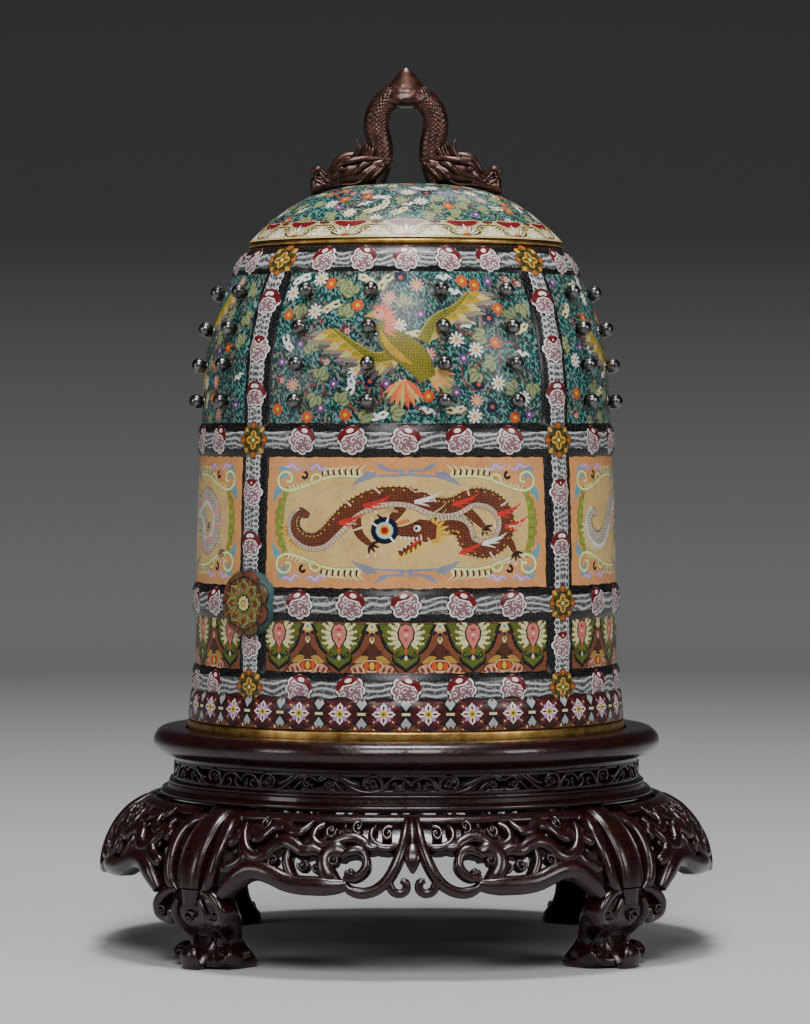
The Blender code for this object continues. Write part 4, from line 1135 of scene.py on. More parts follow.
def phoenix(x, y):
    """A bird with spread wings, a crest of red flames and a scaled gold body."""

    def at(points):
        return [(x + px, y + py) for px, py in points]

    taupe, shade = srgb(128, 118, 106), srgb(96, 84, 78)
    gold, green_gold, straw = srgb(178, 140, 46), srgb(136, 128, 44), srgb(186, 170, 104)
    feather_fan(x - 2, y - 15, -1.7, 1.7, 15, 9, (srgb(222, 130, 70), straw, srgb(214, 96, 60)), 2.8)
    feather_fan(x + 8, y - 11, -0.5, 1.2, 14, 6, (srgb(226, 150, 84), straw), 2.8)
    # wings, each a leading edge of gold over rows of long feathers
    for points, lean in (
        ([(-4, -1), (-15, -5), (-26, 1), (-37, 9)], -1), ([(6, 3), (12, 13), (22, 19), (31, 27)], 1),
    ):
        line = smooth_path(points, 8)
        rows = (
            (19, (taupe, shade), 3.4), (14.5, (straw, taupe), 3.0), (10.5, (gold, straw), 2.8),
            (7.0, (green_gold, gold), 2.8),
        )
        for row, (reach, colours, width) in enumerate(rows):
            for i in range(1, len(line) - 1):
                if (i + row) % 2:
                    continue
                along = Vector(line[i + 1]) - Vector(line[i - 1])
                turn = math.atan2(along.y, along.x) + (0.80 if lean < 0 else -0.80)
                grow = reach * (0.62 + 0.45 * i / len(line))
                paint(at(leaf(*line[i], grow, width, turn, 0.6)), colours[(i // 2) % 2], MOTTLED)
        ribbon(at(line), tapering(7.0, 0.22), srgb(170, 164, 80))
        ribbon(at(line), tapering(5.8, 0.18), green_gold, SCALED)
    body = smooth_path([(-13, 13), (-12, 7), (-6, 1.5), (0, -3), (5, -9), (8, -15)], 6)
    girth = lambda share: 2.4 + 11 * math.sin(math.pi * min(1, share * 0.78 + 0.06)) ** 1.4
    ribbon(at(body), lambda share: girth(share) + 0.8, shade)
    ribbon(at(body), girth, green_gold, SCALED)
    breast = smooth_path([(-14, 8), (-11, 2), (-5, -4), (1, -8)], 5)
    ribbon(at(breast), swelling(3.4), gold, MOTTLED)
    # head, comb and beak
    for k in range(11):
        flame = leaf(-14.5, 15.5, 7.6 - 0.25 * k, 1.8, -0.35 + k * 0.30)
        paint(at(flame), srgb(200, 70, 58) if k % 2 else srgb(222, 118, 92))
    for k in range(6):
        paint(at(leaf(-12.5, 9 + k * 1.1, 7.2, 1.6, -0.6 + 0.22 * k)), srgb(224, 120, 84))
    paint(at(oval(-15.4, 16.2, 5.8, 5.0)), srgb(226, 150, 120))
    paint(at([(-18, 17.6), (-22.4, 15.0), (-18, 14.4)]), YELLOW)
    paint(at(oval(-15.8, 16.8, 1.2, 1.2, 0, 8)), BLACK)
    for px, py in ((-17.6, 9), (-19.6, 11.5), (-16.0, 6.6)):
        paint(at(oval(px, py, 2.6, 2.6, 0, 9)), NAVY)
        paint(at(oval(px, py, 1.2, 1.2, 0, 7)), WHITE)


STUD_TURNS = [math.radians(20.4) * (k - 1.5) for k in range(4)]
STUD_HEIGHTS = [PHOENIX_LOW + 10.6 + 17.4 * k for k in range(4)]


def draw_phoenix_panel(density):
    wobbly_panel(-PANEL_EDGE, PANEL_EDGE, PHOENIX_LOW, PHOENIX_HIGH, TEAL, LEAFY)
    open_panel()
    for _ in range(16):
        x, y = random.uniform(-64, 64), random.uniform(PHOENIX_LOW + 5, PHOENIX_HIGH - 5)
        paint(lobed_ring(x, y, random.uniform(3.5, 7.5), 5, 0.4, random.uniform(0, 3), 4), GREY_TEAL, LEAFY)
    scatter_leaves(PHOENIX_LOW + 0.8, PHOENIX_HIGH - 0.8, PANEL_EDGE - 1, round(60 * density))
    for x, y, size, start, turns in (
        (38, 24, 13, 1.2, 1.25), (54, 33, 8, 4.0, -1.1), (34, 50, 9, 3.2, 1.0), (-22, 14, 11, 0.5, -1.1),
        (12, 12, 10, 2.2, 1.1), (-52, 46, 8, 0.2, 1.1), (-46, 16, 7, 2.0, -1.2),
    ):
        ribbon(curl_path(x, PHOENIX_LOW + y, size, start, turns, 22, 0.3), 0.75, VINE_RED)
    studs = [(turn / (math.pi / 4) * (QUARTER_WIDTH - 2), z) for turn in STUD_TURNS for z in STUD_HEIGHTS]
    figure = [
        (px, PHOENIX_LOW + py)
        for px, py in (
            (-8, 40), (0, 34), (8, 26), (-22, 50), (-16, 42), (-24, 34), (-34, 38), (16, 48), (26, 54),
            (14, 40), (4, 22),
        )
    ]
    scatter_flowers(PHOENIX_LOW, PHOENIX_HIGH, PANEL_EDGE - 1, 7.2 + 3.0 * (1 - density), studs + figure)
    widen_about(2, PHOENIX_LOW + 36)
    phoenix(2, PHOENIX_LOW + 36)
    widen_about(0)
    close_panel()


# %% [markdown]
# ## Laying the drawing on the bell
#
# One quarter holds everything from the foot to the mouth. Its mesh gets extra lines across and
# up it, close together on the raised bands, so that it bends smoothly. The front is packed most
# closely, the sides and the back are plainer, and the two sides have a paler dragon.

# %% The quarter's bending lines
def bending_lines(bottom, top):
    """The lines of one row, up and across, each as its two ends."""
    columns = [QUARTER_WIDTH - RIB_HALF * k / 5 for k in range(6)]
    columns += [(QUARTER_WIDTH - RIB_HALF) * k / 13 for k in range(13)]
    columns = sorted({sign * round(x, 4) for x in columns for sign in (-1, 1)})
    rows = set()
    for centre, half in (
        (LOW_RIB, RIB_HALF), (LOWER_RIB, RIB_HALF), (UPPER_RIB, RIB_HALF), (TOP_RIB, TOP_RIB_HALF),
    ):
        rows |= {round(centre + half * k / 4, 3) for k in range(-4, 5)}
    gaps = (
        (BODY_BOTTOM + GAP, LOW_RIB - RIB_HALF, 6),
        (LOW_RIB + RIB_HALF, LOWER_RIB - RIB_HALF, 5),
        (LOWER_RIB + RIB_HALF, UPPER_RIB - RIB_HALF, 9),
        (UPPER_RIB + RIB_HALF, TOP_RIB - TOP_RIB_HALF, 18),
    )
    for low, high, count in gaps:
        rows |= {round(low + (high - low) * k / count, 3) for k in range(count + 1)}
    lines = [((x, bottom), (x, top)) for x in columns]
    lines += [((-QUARTER_WIDTH, z), (QUARTER_WIDTH, z)) for z in sorted(rows) if bottom < z < top]
    return lines


print("bending lines:", len(bending_lines(BODY_BOTTOM, MOUTH)))

# %% [markdown]
# ## Finishes
#
# Five finishes cover the whole object: enamel, gilt metal, brown bronze, dark oxidised metal and
# polished dark wood. Effects that more than one of them needs, such as cloudy variation and
# small dents, are node groups with named sockets, built once. The enamel reads its colours from
# the cells, and only breaks them up: brocade clouds, speckle, scales, leafy strokes and a
# mottled depth.

# %% Node helpers
def add_node(tree, kind, values=None, **settings):
    """A node with its settings made and its sockets filled with values or links."""
    made = tree.nodes.new(kind)
    for key, value in settings.items():
        setattr(made, key, value)
    for key, value in (values or {}).items():
        if isinstance(value, bpy.types.NodeSocket):
            tree.links.new(value, made.inputs[key])
        else:
            made.inputs[key].default_value = value
    return made


def number(tree, operation, a, b=0.0):
    return add_node(tree, "ShaderNodeMath", {0: a, 1: b}, operation=operation).outputs[0]


def mixed(tree, share, a, b, blend="MIX"):
    a = (*a, 1) if isinstance(a, tuple) else a
    b = (*b, 1) if isinstance(b, tuple) else b
    made = add_node(tree, "ShaderNodeMix", {0: share, 6: a, 7: b}, data_type="RGBA", blend_type=blend)
    return made.outputs[2]


def stepped(tree, value, low, high):
    """The value stretched so that low is 0 and high is 1, and held between them."""
    return add_node(tree, "ShaderNodeMapRange", {0: value, 1: low, 2: high, 3: 0.0, 4: 1.0}).outputs[0]


def new_group(name, inputs, outputs):
    """A node group with named sockets; gives the tree, its input node and its output node."""
    tree = bpy.data.node_groups.new(name, "ShaderNodeTree")
    for way, sockets in (("INPUT", inputs), ("OUTPUT", outputs)):
        for label, kind in sockets:
            tree.interface.new_socket(label, in_out=way, socket_type="NodeSocket" + kind)
    return tree, tree.nodes.new("NodeGroupInput"), tree.nodes.new("NodeGroupOutput")


def use_group(tree, group, values):
    return add_node(tree, "ShaderNodeGroup", values, node_tree=group)


# %% Cloudy variation, for every finish
clouds, given, put = new_group(
    "clouds",
    [("Place", "Vector"), ("Size in mm", "Float"), ("Low", "Float"), ("High", "Float")],
    [("Mask", "Float")],
)
per_metre = number(clouds, "DIVIDE", 1000.0, given.outputs["Size in mm"])
noise = add_node(
    clouds, "ShaderNodeTexNoise",
    {"Vector": given.outputs["Place"], "Scale": per_metre, "Detail": 4.0, "Roughness": 0.55},
)
stretch = add_node(
    clouds, "ShaderNodeMapRange",
    {0: noise.outputs["Fac"], 1: given.outputs["Low"], 2: given.outputs["High"]},
)
clouds.links.new(stretch.outputs[0], put.inputs["Mask"])

# %% Break-up of the enamel cells
cells, given, put = new_group(
    "enamel cells",
    [
        ("Colour", "Color"), ("Kind", "Float"), ("Metal", "Float"),
        ("Drawing", "Vector"), ("Place", "Vector"),
    ],
    [("Colour", "Color"), ("Roughness", "Float"), ("Height", "Float")],
)


def is_kind(value):
    made = add_node(
        cells, "ShaderNodeMath", {0: given.outputs["Kind"], 1: value, 2: 0.08}, operation="COMPARE",
    )
    return made.outputs[0]


# brocade: thin pale streaks bent like clouds, and the edges of larger cells, on a dark grey
streaks = add_node(
    cells, "ShaderNodeTexWave",
    {
        "Vector": given.outputs["Drawing"], "Scale": 11.5, "Distortion": 8.0, "Detail": 1.0,
        "Detail Scale": 0.7,
    },
    wave_type="BANDS", bands_direction="Y", wave_profile="SIN",
)
cloud_cells = add_node(
    cells, "ShaderNodeTexVoronoi", {"Vector": given.outputs["Drawing"], "Scale": 24.0, "Randomness": 0.8},
    feature="DISTANCE_TO_EDGE", voronoi_dimensions="2D",
)
cloud_edges = number(cells, "MULTIPLY", stepped(cells, cloud_cells.outputs["Distance"], 0.06, 0.02), 0.6)
cloud_lines = number(cells, "MAXIMUM", stepped(cells, streaks.outputs["Fac"], 0.45, 0.90), cloud_edges)
brocade_colour = mixed(cells, cloud_lines, srgb(72, 74, 77), srgb(176, 178, 176))
# speckle: fine grey dots on black
dots = add_node(
    cells, "ShaderNodeTexVoronoi", {"Vector": given.outputs["Drawing"], "Scale": 95.0, "Randomness": 1.0},
    voronoi_dimensions="2D",
)
speckle_colour = mixed(
    cells, stepped(cells, dots.outputs["Distance"], 0.17, 0.05), srgb(17, 16, 19), srgb(112, 110, 108),
)


def undergrowth(turn, size, reach):
    """A mask of small curved strokes, laid at a turn; size is how many there are along 100 mm."""
    bend = add_node(
        cells, "ShaderNodeTexNoise", {"Vector": given.outputs["Drawing"], "Scale": 9.0, "Detail": 0.0},
        noise_dimensions="2D",
    )
    nudge = add_node(
        cells, "ShaderNodeVectorMath", {0: bend.outputs["Color"], 1: (0.03, 0.03, 0.0)},
        operation="MULTIPLY",
    )
    bent = add_node(
        cells, "ShaderNodeVectorMath", {0: given.outputs["Drawing"], 1: nudge.outputs[0]}, operation="ADD",
    )
    turned = add_node(
        cells, "ShaderNodeMapping",
        {
            "Vector": bent.outputs[0], "Location": (0.37 * turn, 0.0, 0.0),
            "Rotation": (0, 0, math.radians(turn)), "Scale": (1.0, 0.42, 1.0),
        },
        vector_type="TEXTURE",
    )
    strokes = add_node(
        cells, "ShaderNodeTexVoronoi", {"Vector": turned.outputs[0], "Scale": size, "Randomness": 1.0},
        voronoi_dimensions="2D",
    )
    return stepped(cells, strokes.outputs["Distance"], reach, reach - 0.05)


# leafy ground: green and dark strokes over turquoise and grey-brown patches
patches = use_group(
    cells, clouds, {"Place": given.outputs["Place"], "Size in mm": 12.0, "Low": 0.48, "High": 0.56},
)
leafy = mixed(
    cells, number(cells, "MULTIPLY", patches.outputs[0], 0.85), given.outputs["Colour"],
    srgb(122, 118, 106),
)
leafy = mixed(cells, undergrowth(25, 23.0, 0.33), leafy, srgb(40, 88, 76))
leafy = mixed(cells, undergrowth(-50, 24.0, 0.31), leafy, srgb(14, 46, 48))
leafy = mixed(cells, undergrowth(70, 26.0, 0.30), leafy, srgb(22, 64, 60))
leafy = mixed(cells, undergrowth(115, 24.0, 0.26), leafy, srgb(16, 40, 43))
leafy = mixed(cells, undergrowth(-15, 14.0, 0.13), leafy, srgb(128, 84, 78))
# scales: rounded cells with dark edges
scale_cells = add_node(
    cells, "ShaderNodeTexVoronoi", {"Vector": given.outputs["Drawing"], "Scale": 72.0, "Randomness": 0.55},
    feature="DISTANCE_TO_EDGE", voronoi_dimensions="2D",
)
scale_shade = stepped(cells, scale_cells.outputs["Distance"], 0.03, 0.16)
scale_edge = mixed(cells, 1.0, given.outputs["Colour"], srgb(150, 140, 130), "MULTIPLY")
scaled_colour = mixed(cells, scale_shade, scale_edge, given.outputs["Colour"])
# mottle: the depth of hand-packed glass paste
fine = use_group(
    cells, clouds, {"Place": given.outputs["Place"], "Size in mm": 1.6, "Low": 0.3, "High": 0.7},
)
broad = use_group(
    cells, clouds, {"Place": given.outputs["Place"], "Size in mm": 9.0, "Low": 0.3, "High": 0.7},
)
paste = number(cells, "MULTIPLY_ADD", fine.outputs[0], 0.16)
paste.node.inputs[2].default_value = 0.90
deep = number(cells, "MULTIPLY_ADD", broad.outputs[0], 0.22)
deep.node.inputs[2].default_value = 0.86
shade = number(cells, "MULTIPLY", paste, deep)
tone = add_node(cells, "ShaderNodeCombineColor", {0: shade, 1: shade, 2: shade})
picked = mixed(cells, is_kind(BROCADED), given.outputs["Colour"], brocade_colour)
picked = mixed(cells, is_kind(SPECKLED), picked, speckle_colour)
picked = mixed(cells, is_kind(SCALED), picked, scaled_colour)
picked = mixed(cells, is_kind(LEAFY), picked, leafy)
picked = mixed(cells, 1.0, picked, tone.outputs[0], "MULTIPLY")
cells.links.new(picked, put.inputs["Colour"])
rough = number(cells, "MULTIPLY_ADD", fine.outputs[0], 0.10)
rough.node.inputs[2].default_value = 0.24
cells.links.new(
    number(cells, "ADD", rough, number(cells, "MULTIPLY", given.outputs["Metal"], 0.12)),
    put.inputs["Roughness"],
)
cells.links.new(
    number(
        cells, "ADD", number(cells, "MULTIPLY", fine.outputs[0], 0.35),
        number(cells, "MULTIPLY", given.outputs["Metal"], 0.5),
    ),
    put.inputs["Height"],
)


# %% The enamel
def new_finish(name):
    finish = bpy.data.materials.new(name)
    finish.use_nodes = True
    tree = finish.node_tree
    place = add_node(tree, "ShaderNodeTexCoord").outputs["Object"]
    return finish, tree, tree.nodes["Principled BSDF"], place


enamel, tree, shader, place = new_finish("cloisonne enamel")
colour = add_node(tree, "ShaderNodeVertexColor", layer_name="enamel")
kind = add_node(tree, "ShaderNodeAttribute", attribute_name="kind")
drawing = add_node(tree, "ShaderNodeUVMap", uv_map="drawing")
cell_node = use_group(tree, cells, {
    "Colour": colour.outputs["Color"], "Kind": kind.outputs["Fac"], "Metal": colour.outputs["Alpha"],
    "Drawing": drawing.outputs[0], "Place": place,
})
tree.links.new(cell_node.outputs["Colour"], shader.inputs["Base Color"])
tree.links.new(cell_node.outputs["Roughness"], shader.inputs["Roughness"])
tree.links.new(colour.outputs["Alpha"], shader.inputs["Metallic"])
bump = add_node(
    tree, "ShaderNodeBump", {"Height": cell_node.outputs["Height"], "Distance": 0.00008, "Strength": 0.6},
)
tree.links.new(bump.outputs[0], shader.inputs["Normal"])
shader.inputs["IOR"].default_value = 1.45
shader.inputs["Specular IOR Level"].default_value = 0.25
shader.inputs["Coat Weight"].default_value = 0.06
shader.inputs["Coat Roughness"].default_value = 0.15


# %% Gilt, dark silver and bronze
def metal_finish(name, worn, deep, roughness, spot_size, dent_depth):
    """A metal with a worn colour on its clear parts, a deeper one in its clouds, and fine dents."""
    finish, tree, shader, place = new_finish(name)
    patch = use_group(tree, clouds, {"Place": place, "Size in mm": spot_size, "Low": 0.35, "High": 0.68})
    grit = use_group(tree, clouds, {"Place": place, "Size in mm": 0.7, "Low": 0.3, "High": 0.75})
    tree.links.new(mixed(tree, patch.outputs[0], worn, deep), shader.inputs["Base Color"])
    shine = number(tree, "MULTIPLY_ADD", grit.outputs[0], 0.18)
    shine.node.inputs[2].default_value = roughness
    tree.links.new(shine, shader.inputs["Roughness"])
    dents = add_node(
        tree, "ShaderNodeBump", {"Height": grit.outputs[0], "Distance": dent_depth * MM, "Strength": 0.5},
    )
    tree.links.new(dents.outputs[0], shader.inputs["Normal"])
    return finish, shader


gilt, shader = metal_finish("worn gilt brass", srgb(214, 176, 104), srgb(150, 108, 52), 0.26, 7.0, 0.05)
shader.inputs["Metallic"].default_value = 1.0
oxidised, shader = metal_finish("oxidised silver", srgb(132, 130, 128), srgb(52, 50, 50), 0.20, 3.0, 0.05)
shader.inputs["Metallic"].default_value = 1.0
bronze, shader = metal_finish("brown patinated bronze", srgb(86, 51, 39), srgb(42, 27, 23), 0.28, 5.0, 0.05)
shader.inputs["Metallic"].default_value = 0.75
shader.inputs["Coat Weight"].default_value = 0.4
shader.inputs["Coat Roughness"].default_value = 0.2

# %% Dark polished wood
wood, tree, shader, place = new_finish("dark polished hardwood")
grain_space = add_node(tree, "ShaderNodeMapping", {"Vector": place, "Scale": (1.0, 1.0, 7.0)})
grain = use_group(
    tree, clouds, {"Place": grain_space.outputs[0], "Size in mm": 9.0, "Low": 0.3, "High": 0.7},
)
pores = use_group(
    tree, clouds, {"Place": grain_space.outputs[0], "Size in mm": 1.3, "Low": 0.45, "High": 0.75},
)
tree.links.new(mixed(tree, grain.outputs[0], srgb(17, 7, 7), srgb(42, 14, 12)), shader.inputs["Base Color"])
shine = number(tree, "MULTIPLY_ADD", pores.outputs[0], 0.16)
shine.node.inputs[2].default_value = 0.20
tree.links.new(shine, shader.inputs["Roughness"])
ripple = add_node(
    tree, "ShaderNodeBump", {"Height": pores.outputs[0], "Distance": 0.00006, "Strength": 0.5}, invert=True,
)
tree.links.new(ripple.outputs[0], shader.inputs["Normal"])
shader.inputs["Specular IOR Level"].default_value = 0.35
shader.inputs["Coat Weight"].default_value = 0.35
shader.inputs["Coat Roughness"].default_value = 0.08

print("finishes:", [finish.name for finish in (enamel, gilt, oxidised, bronze, wood)])

# %% [markdown]
# ## The bell
#
# The four quarters of the drawing are laid round the bell and welded into one skin. To weld
# without gaps, both sides of each seam need points at the same heights, so the drawing is cut
# twice: once to learn where its lines meet the seam, and once more with points put there. The
# mouth and the foot are then drawn inwards to give the vessel its wall and its hollow.

# %% Pieces and the nodes they stand for
pieces = []


def finished_piece(mesh, name, finish, slot, *nodes):
    """Makes an object of a finished mesh, gives it its finish and hides the construction nodes it stands
    for.
    """
    piece = bpy.data.objects.new(name, mesh)
    bpy.context.collection.objects.link(piece)
    return settle(piece, finish, slot, *nodes)


def settle(piece, finish, slot, *nodes):
    piece.data.materials.clear()
    piece.data.materials.append(finish)
    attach(piece, "root")
    if nodes:
        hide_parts(*nodes)
    pieces.append(piece)
    return piece


def smoothed(skin, mesh, angle=50):
    """Writes the skin into the mesh, smooth but for edges sharper than an angle in degrees."""
    skin.to_mesh(mesh)
    skin.free()
    mesh.shade_smooth()
    mesh.set_sharp_from_angle(angle=math.radians(angle))
    return mesh


def triangle_count(piece):
    return sum(len(face.vertices) - 2 for face in piece.data.polygons)


# %% Cutting the quarters so that they meet
ROWS = (
    ("bell_foot", BODY_BOTTOM + GAP, LOWER_RIB + RIB_HALF),
    ("bell_middle", LOWER_RIB + RIB_HALF, UPPER_RIB - RIB_HALF),
    ("bell_shoulder", UPPER_RIB - RIB_HALF, MOUTH),
)
# Each design with its quarters, whether its dragon is pale, and how closely it is packed
DESIGNS = (("front", (0,), False, 1.0), ("sides", (1, 3), True, 0.5), ("back", (2,), False, 0.35))


def draw_quarter(pale, density):
    shapes.clear()
    random.seed(11)
    draw_bands(density)
    draw_lappet_panel()
    draw_dragon_panel(pale)
    draw_phoenix_panel(density)
    draw_band_flowers()
    draw_roundels()


def cut_row(low, high, seam_heights):
    lines = bending_lines(low, high)
    outline = [(-QUARTER_WIDTH, low), (QUARTER_WIDTH, low), (QUARTER_WIDTH, high), (-QUARTER_WIDTH, high)]
    posts = [(side * QUARTER_WIDTH, z) for z in seam_heights for side in (-1, 1)]
    inside = lambda x, z: -QUARTER_WIDTH < x < QUARTER_WIDTH and low < z < high
    return cut_cells(outline, lines, (BLACK, SPECKLED, 0.0), inside, posts)


def seam_heights_of(flat, triangles):
    used = {i for triangle in triangles for i in triangle}
    return {round(flat[i][1], 3) for i in used if abs(abs(flat[i][0]) - QUARTER_WIDTH) < 0.003}


seams = {name: set() for name, _, _ in ROWS}
for _, _, pale, density in DESIGNS:
    draw_quarter(pale, density)
    for name, low, high in ROWS:
        seams[name] |= seam_heights_of(*cut_row(low, high, ())[:2])
for name, heights in seams.items():
    heights = sorted(heights)
    seams[name] = [z for z, before in zip(heights, [-1] + heights) if z - before > 0.02]
    print("points on each seam of", name, len(seams[name]))

# %% Laying and welding the quarters
skins = {name: bmesh.new() for name, _, _ in ROWS}
for design, sides, pale, density in DESIGNS:
    draw_quarter(pale, density)
    for name, low, high in ROWS:
        flat, triangles, finish = cut_row(low, high, seams[name])
        print(design, name, len(triangles), "triangles")
        for side in sides:
            mesh = enamel_mesh("quarter", flat, triangles, finish, lambda x, z: laid_on_bell(x, z, side))
            skins[name].from_mesh(mesh)
            bpy.data.meshes.remove(mesh)
for skin in skins.values():
    bmesh.ops.remove_doubles(skin, verts=skin.verts, dist=0.00001)
    bmesh.ops.remove_doubles(skin, verts=[v for v in skin.verts if v.is_boundary], dist=0.00003)

# %% The wall, the hollow and the foot
INSIDE_BLUE = srgb(74, 118, 130)
FOOT_BROWN = srgb(120, 84, 52)
INSIDE_FLOOR = 111.0


def drawn_in(skin, edges, stations, tint, metal):
    """Draws an open edge on through stations of (radius, height) in millimetres; gives its new edge."""
    for radius, z in stations:
        grown_edge = bmesh.ops.extrude_edge_only(skin, edges=edges)["geom"]
        for part in grown_edge:
            if isinstance(part, bmesh.types.BMVert):
                turn = math.atan2(part.co.y, part.co.x)
                part.co = (radius * MM * math.cos(turn), radius * MM * math.sin(turn), z * MM)
            if isinstance(part, bmesh.types.BMFace):
                tinted(skin, part, tint, metal)
        edges = [part for part in grown_edge if isinstance(part, bmesh.types.BMEdge)]
    return edges


def tinted(skin, face, tint, metal):
    face[skin.faces.layers.float["kind"]] = MOTTLED
    for loop in face.loops:
        loop[skin.loops.layers.float_color["enamel"]] = (*tint, metal)


def closed_to_pole(skin, edges, z, tint, metal):
    pole = skin.verts.new((0, 0, z * MM))
    for edge in edges:
        tinted(skin, skin.faces.new((*edge.verts, pole)), tint, metal)


def open_edge(skin, low, high):
    return [e for e in skin.edges if e.is_boundary and low < e.verts[0].co.z / MM < high]


def inner_radius(z):
    return min(wall_radius(z), WAISTLINE_RADIUS + 1.6) - BODY_WALL


for name, low, high in ROWS:
    skin = skins[name]
    top_rim, low_rim = open_edge(skin, high - 0.5, high + 0.5), open_edge(skin, low - 0.5, low + 0.5)
    print(name, "open edges:", len(top_rim), len(low_rim), "of", sum(e.is_boundary for e in skin.edges))
    if name == "bell_shoulder":
        wall = drawn_in(skin, top_rim, [(inner_radius(MOUTH) - 1.2, MOUTH)], GOLD_WIRE, 1.0)
        wall = drawn_in(
            skin, wall, [(inner_radius(z), z) for z in (336, 320, 303, 285, low)], INSIDE_BLUE, 0.0,
        )
    else:
        wall = drawn_in(skin, top_rim, [(inner_radius(high), high)], INSIDE_BLUE, 0.0)
    if name == "bell_foot":
        wall = drawn_in(
            skin, wall, [(inner_radius(140), 140), (101, 118), (97, INSIDE_FLOOR), (50, INSIDE_FLOOR)],
            INSIDE_BLUE, 0.0,
        )
        closed_to_pole(skin, wall, INSIDE_FLOOR, INSIDE_BLUE, 0.0)
        foot_low = SEAT + GAP
        foot = drawn_in(skin, low_rim, [(100, low), (100, foot_low), (50, foot_low)], FOOT_BROWN, 1.0)
        closed_to_pole(skin, foot, foot_low, FOOT_BROWN, 1.0)
    else:
        if name == "bell_middle":
            wall = drawn_in(skin, wall, [(inner_radius(low), low)], INSIDE_BLUE, 0.0)
        bmesh.ops.bridge_loops(skin, edges=wall + low_rim)
    bmesh.ops.recalc_face_normals(skin, faces=skin.faces)
    left_open = sum(e.is_boundary for e in skin.edges)
    mesh = smoothed(skin, bpy.data.meshes.new(name))
    piece = finished_piece(mesh, name, enamel, "enamel", "vessel_body")
    print(name, triangle_count(piece), "triangles,", left_open, "edges left open")

# %% [markdown]
# ## Gilt rings
#
# A gilt ring carries the foot, and a gilt bead runs under the lid. Each is a small section spun
# round the axis, finer than the construction model's, so that its edge is a true circle.

# %% Spinning a section
def only(thing):
    """Selects one object and nothing else."""
    for other in bpy.context.view_layer.objects:
        other.select_set(False)
    thing.select_set(True)
    bpy.context.view_layer.objects.active = thing


def spun(name, section, steps):
    """A closed section of (radius, height) points in millimetres, spun once round the axis."""
    mesh = bpy.data.meshes.new(name)
    count = len(section)
    edges = [(i, (i + 1) % count) for i in range(count)]
    mesh.from_pydata([(radius * MM, 0, z * MM) for radius, z in section], edges, [])
    piece = bpy.data.objects.new(name, mesh)
    bpy.context.collection.objects.link(piece)
    only(piece)
    bpy.ops.object.mode_set(mode="EDIT")
    bpy.ops.mesh.select_all(action="SELECT")
    bpy.ops.mesh.spin(steps=steps, angle=2 * math.pi, center=(0, 0, 0), axis=(0, 0, 1))
    bpy.ops.mesh.select_all(action="SELECT")
    bpy.ops.mesh.remove_doubles(threshold=0.000005)
    bpy.ops.mesh.normals_make_consistent(inside=False)
    bpy.ops.object.mode_set(mode="OBJECT")
    return piece


def soft_section(inner, outer, low, high, corner):
    """A box section with rounded corners on its outer side."""
    points = [(inner, low)]
    for cx, cz, start in ((outer - corner, low + corner, -90), (outer - corner, high - corner, 0)):
        for k in range(4):
            turn = math.radians(start + 90 * k / 3)
            points.append((cx + corner * math.cos(turn), cz + corner * math.sin(turn)))
    return points + [(inner, high)]


# %% The two rings
LID_RING_TOP = MOUTH + 3.0
base_ring = spun("gilt_foot_ring", soft_section(100.3, 109.0, SEAT + GAP, BODY_BOTTOM, 1.1), 160)
lid_bead = spun("gilt_lid_bead", soft_section(75.2, 78.6, MOUTH + GAP, LID_RING_TOP, 1.3), 144)
for ring, node in ((base_ring, "base_ring"), (lid_bead, "lid_ring")):
    only(ring)
    bpy.ops.object.shade_smooth_by_angle(angle=math.radians(40))
    settle(ring, gilt, "gilt", node)
    print(ring.name, triangle_count(ring), "triangles")

# %% [markdown]
# ## The lid
#
# The dome is enamelled like the upper panels, with a border of cream palmettes and crimson
# crescents at its rim. Its drawing is a flat disc: the distance from the middle of the disc is
# the distance walked over the dome from its top, so nothing is stretched on the way down.

# %% The dome's curve
LID_RISE = 29.4
LID_POWER = 3.1
LID_WALL = 2.3
LID_BASE = LID_RING_TOP + GAP


def lid_height(radius, inset=0.0):
    share = min(1.0, radius / (MOUTH_RADIUS - inset))
    return LID_BASE + (LID_RISE - inset) * (1 - share**LID_POWER)


walk = [(0.0, 0.0)]
for i in range(1, 401):
    radius = MOUTH_RADIUS * math.sin(math.pi / 2 * i / 400)
    before_walk, before = walk[-1]
    step = math.hypot(radius - before, lid_height(radius) - lid_height(before))
    walk.append((before_walk + step, radius))
LID_SPAN = walk[-1][0]


def laid_on_lid(x, y):
    """A point of the lid's disc, laid on the dome, in metres."""
    span = min(LID_SPAN, math.hypot(x, y))
    low, high = 0, len(walk) - 1
    while high - low > 1:
        middle = (low + high) // 2
        low, high = (middle, high) if walk[middle][0] <= span else (low, middle)
    (span_a, radius_a), (span_b, radius_b) = walk[low], walk[high]
    radius = radius_a + (radius_b - radius_a) * (span - span_a) / (span_b - span_a)
    turn = math.atan2(y, x)
    return (radius * math.cos(turn) * MM, radius * math.sin(turn) * MM, lid_height(radius) * MM)


print("from the lid's top to its rim:", round(LID_SPAN, 1), "mm")

# %% The lid's border
LID_UNITS = 16
UNIT_HALF = 13.7
BORDER = 11.8
BORDER_SQUEEZE = 0.78


def on_rim(points, unit):
    """Points (along the rim, in from the rim) of one repeat, placed on the lid's disc."""
    moved = []
    for along, inwards in points:
        turn = (unit + along / (2 * UNIT_HALF)) * 2 * math.pi / LID_UNITS
        reach = LID_SPAN - BORDER_SQUEEZE * inwards
        moved.append((reach * math.sin(turn), -reach * math.cos(turn)))
    return moved


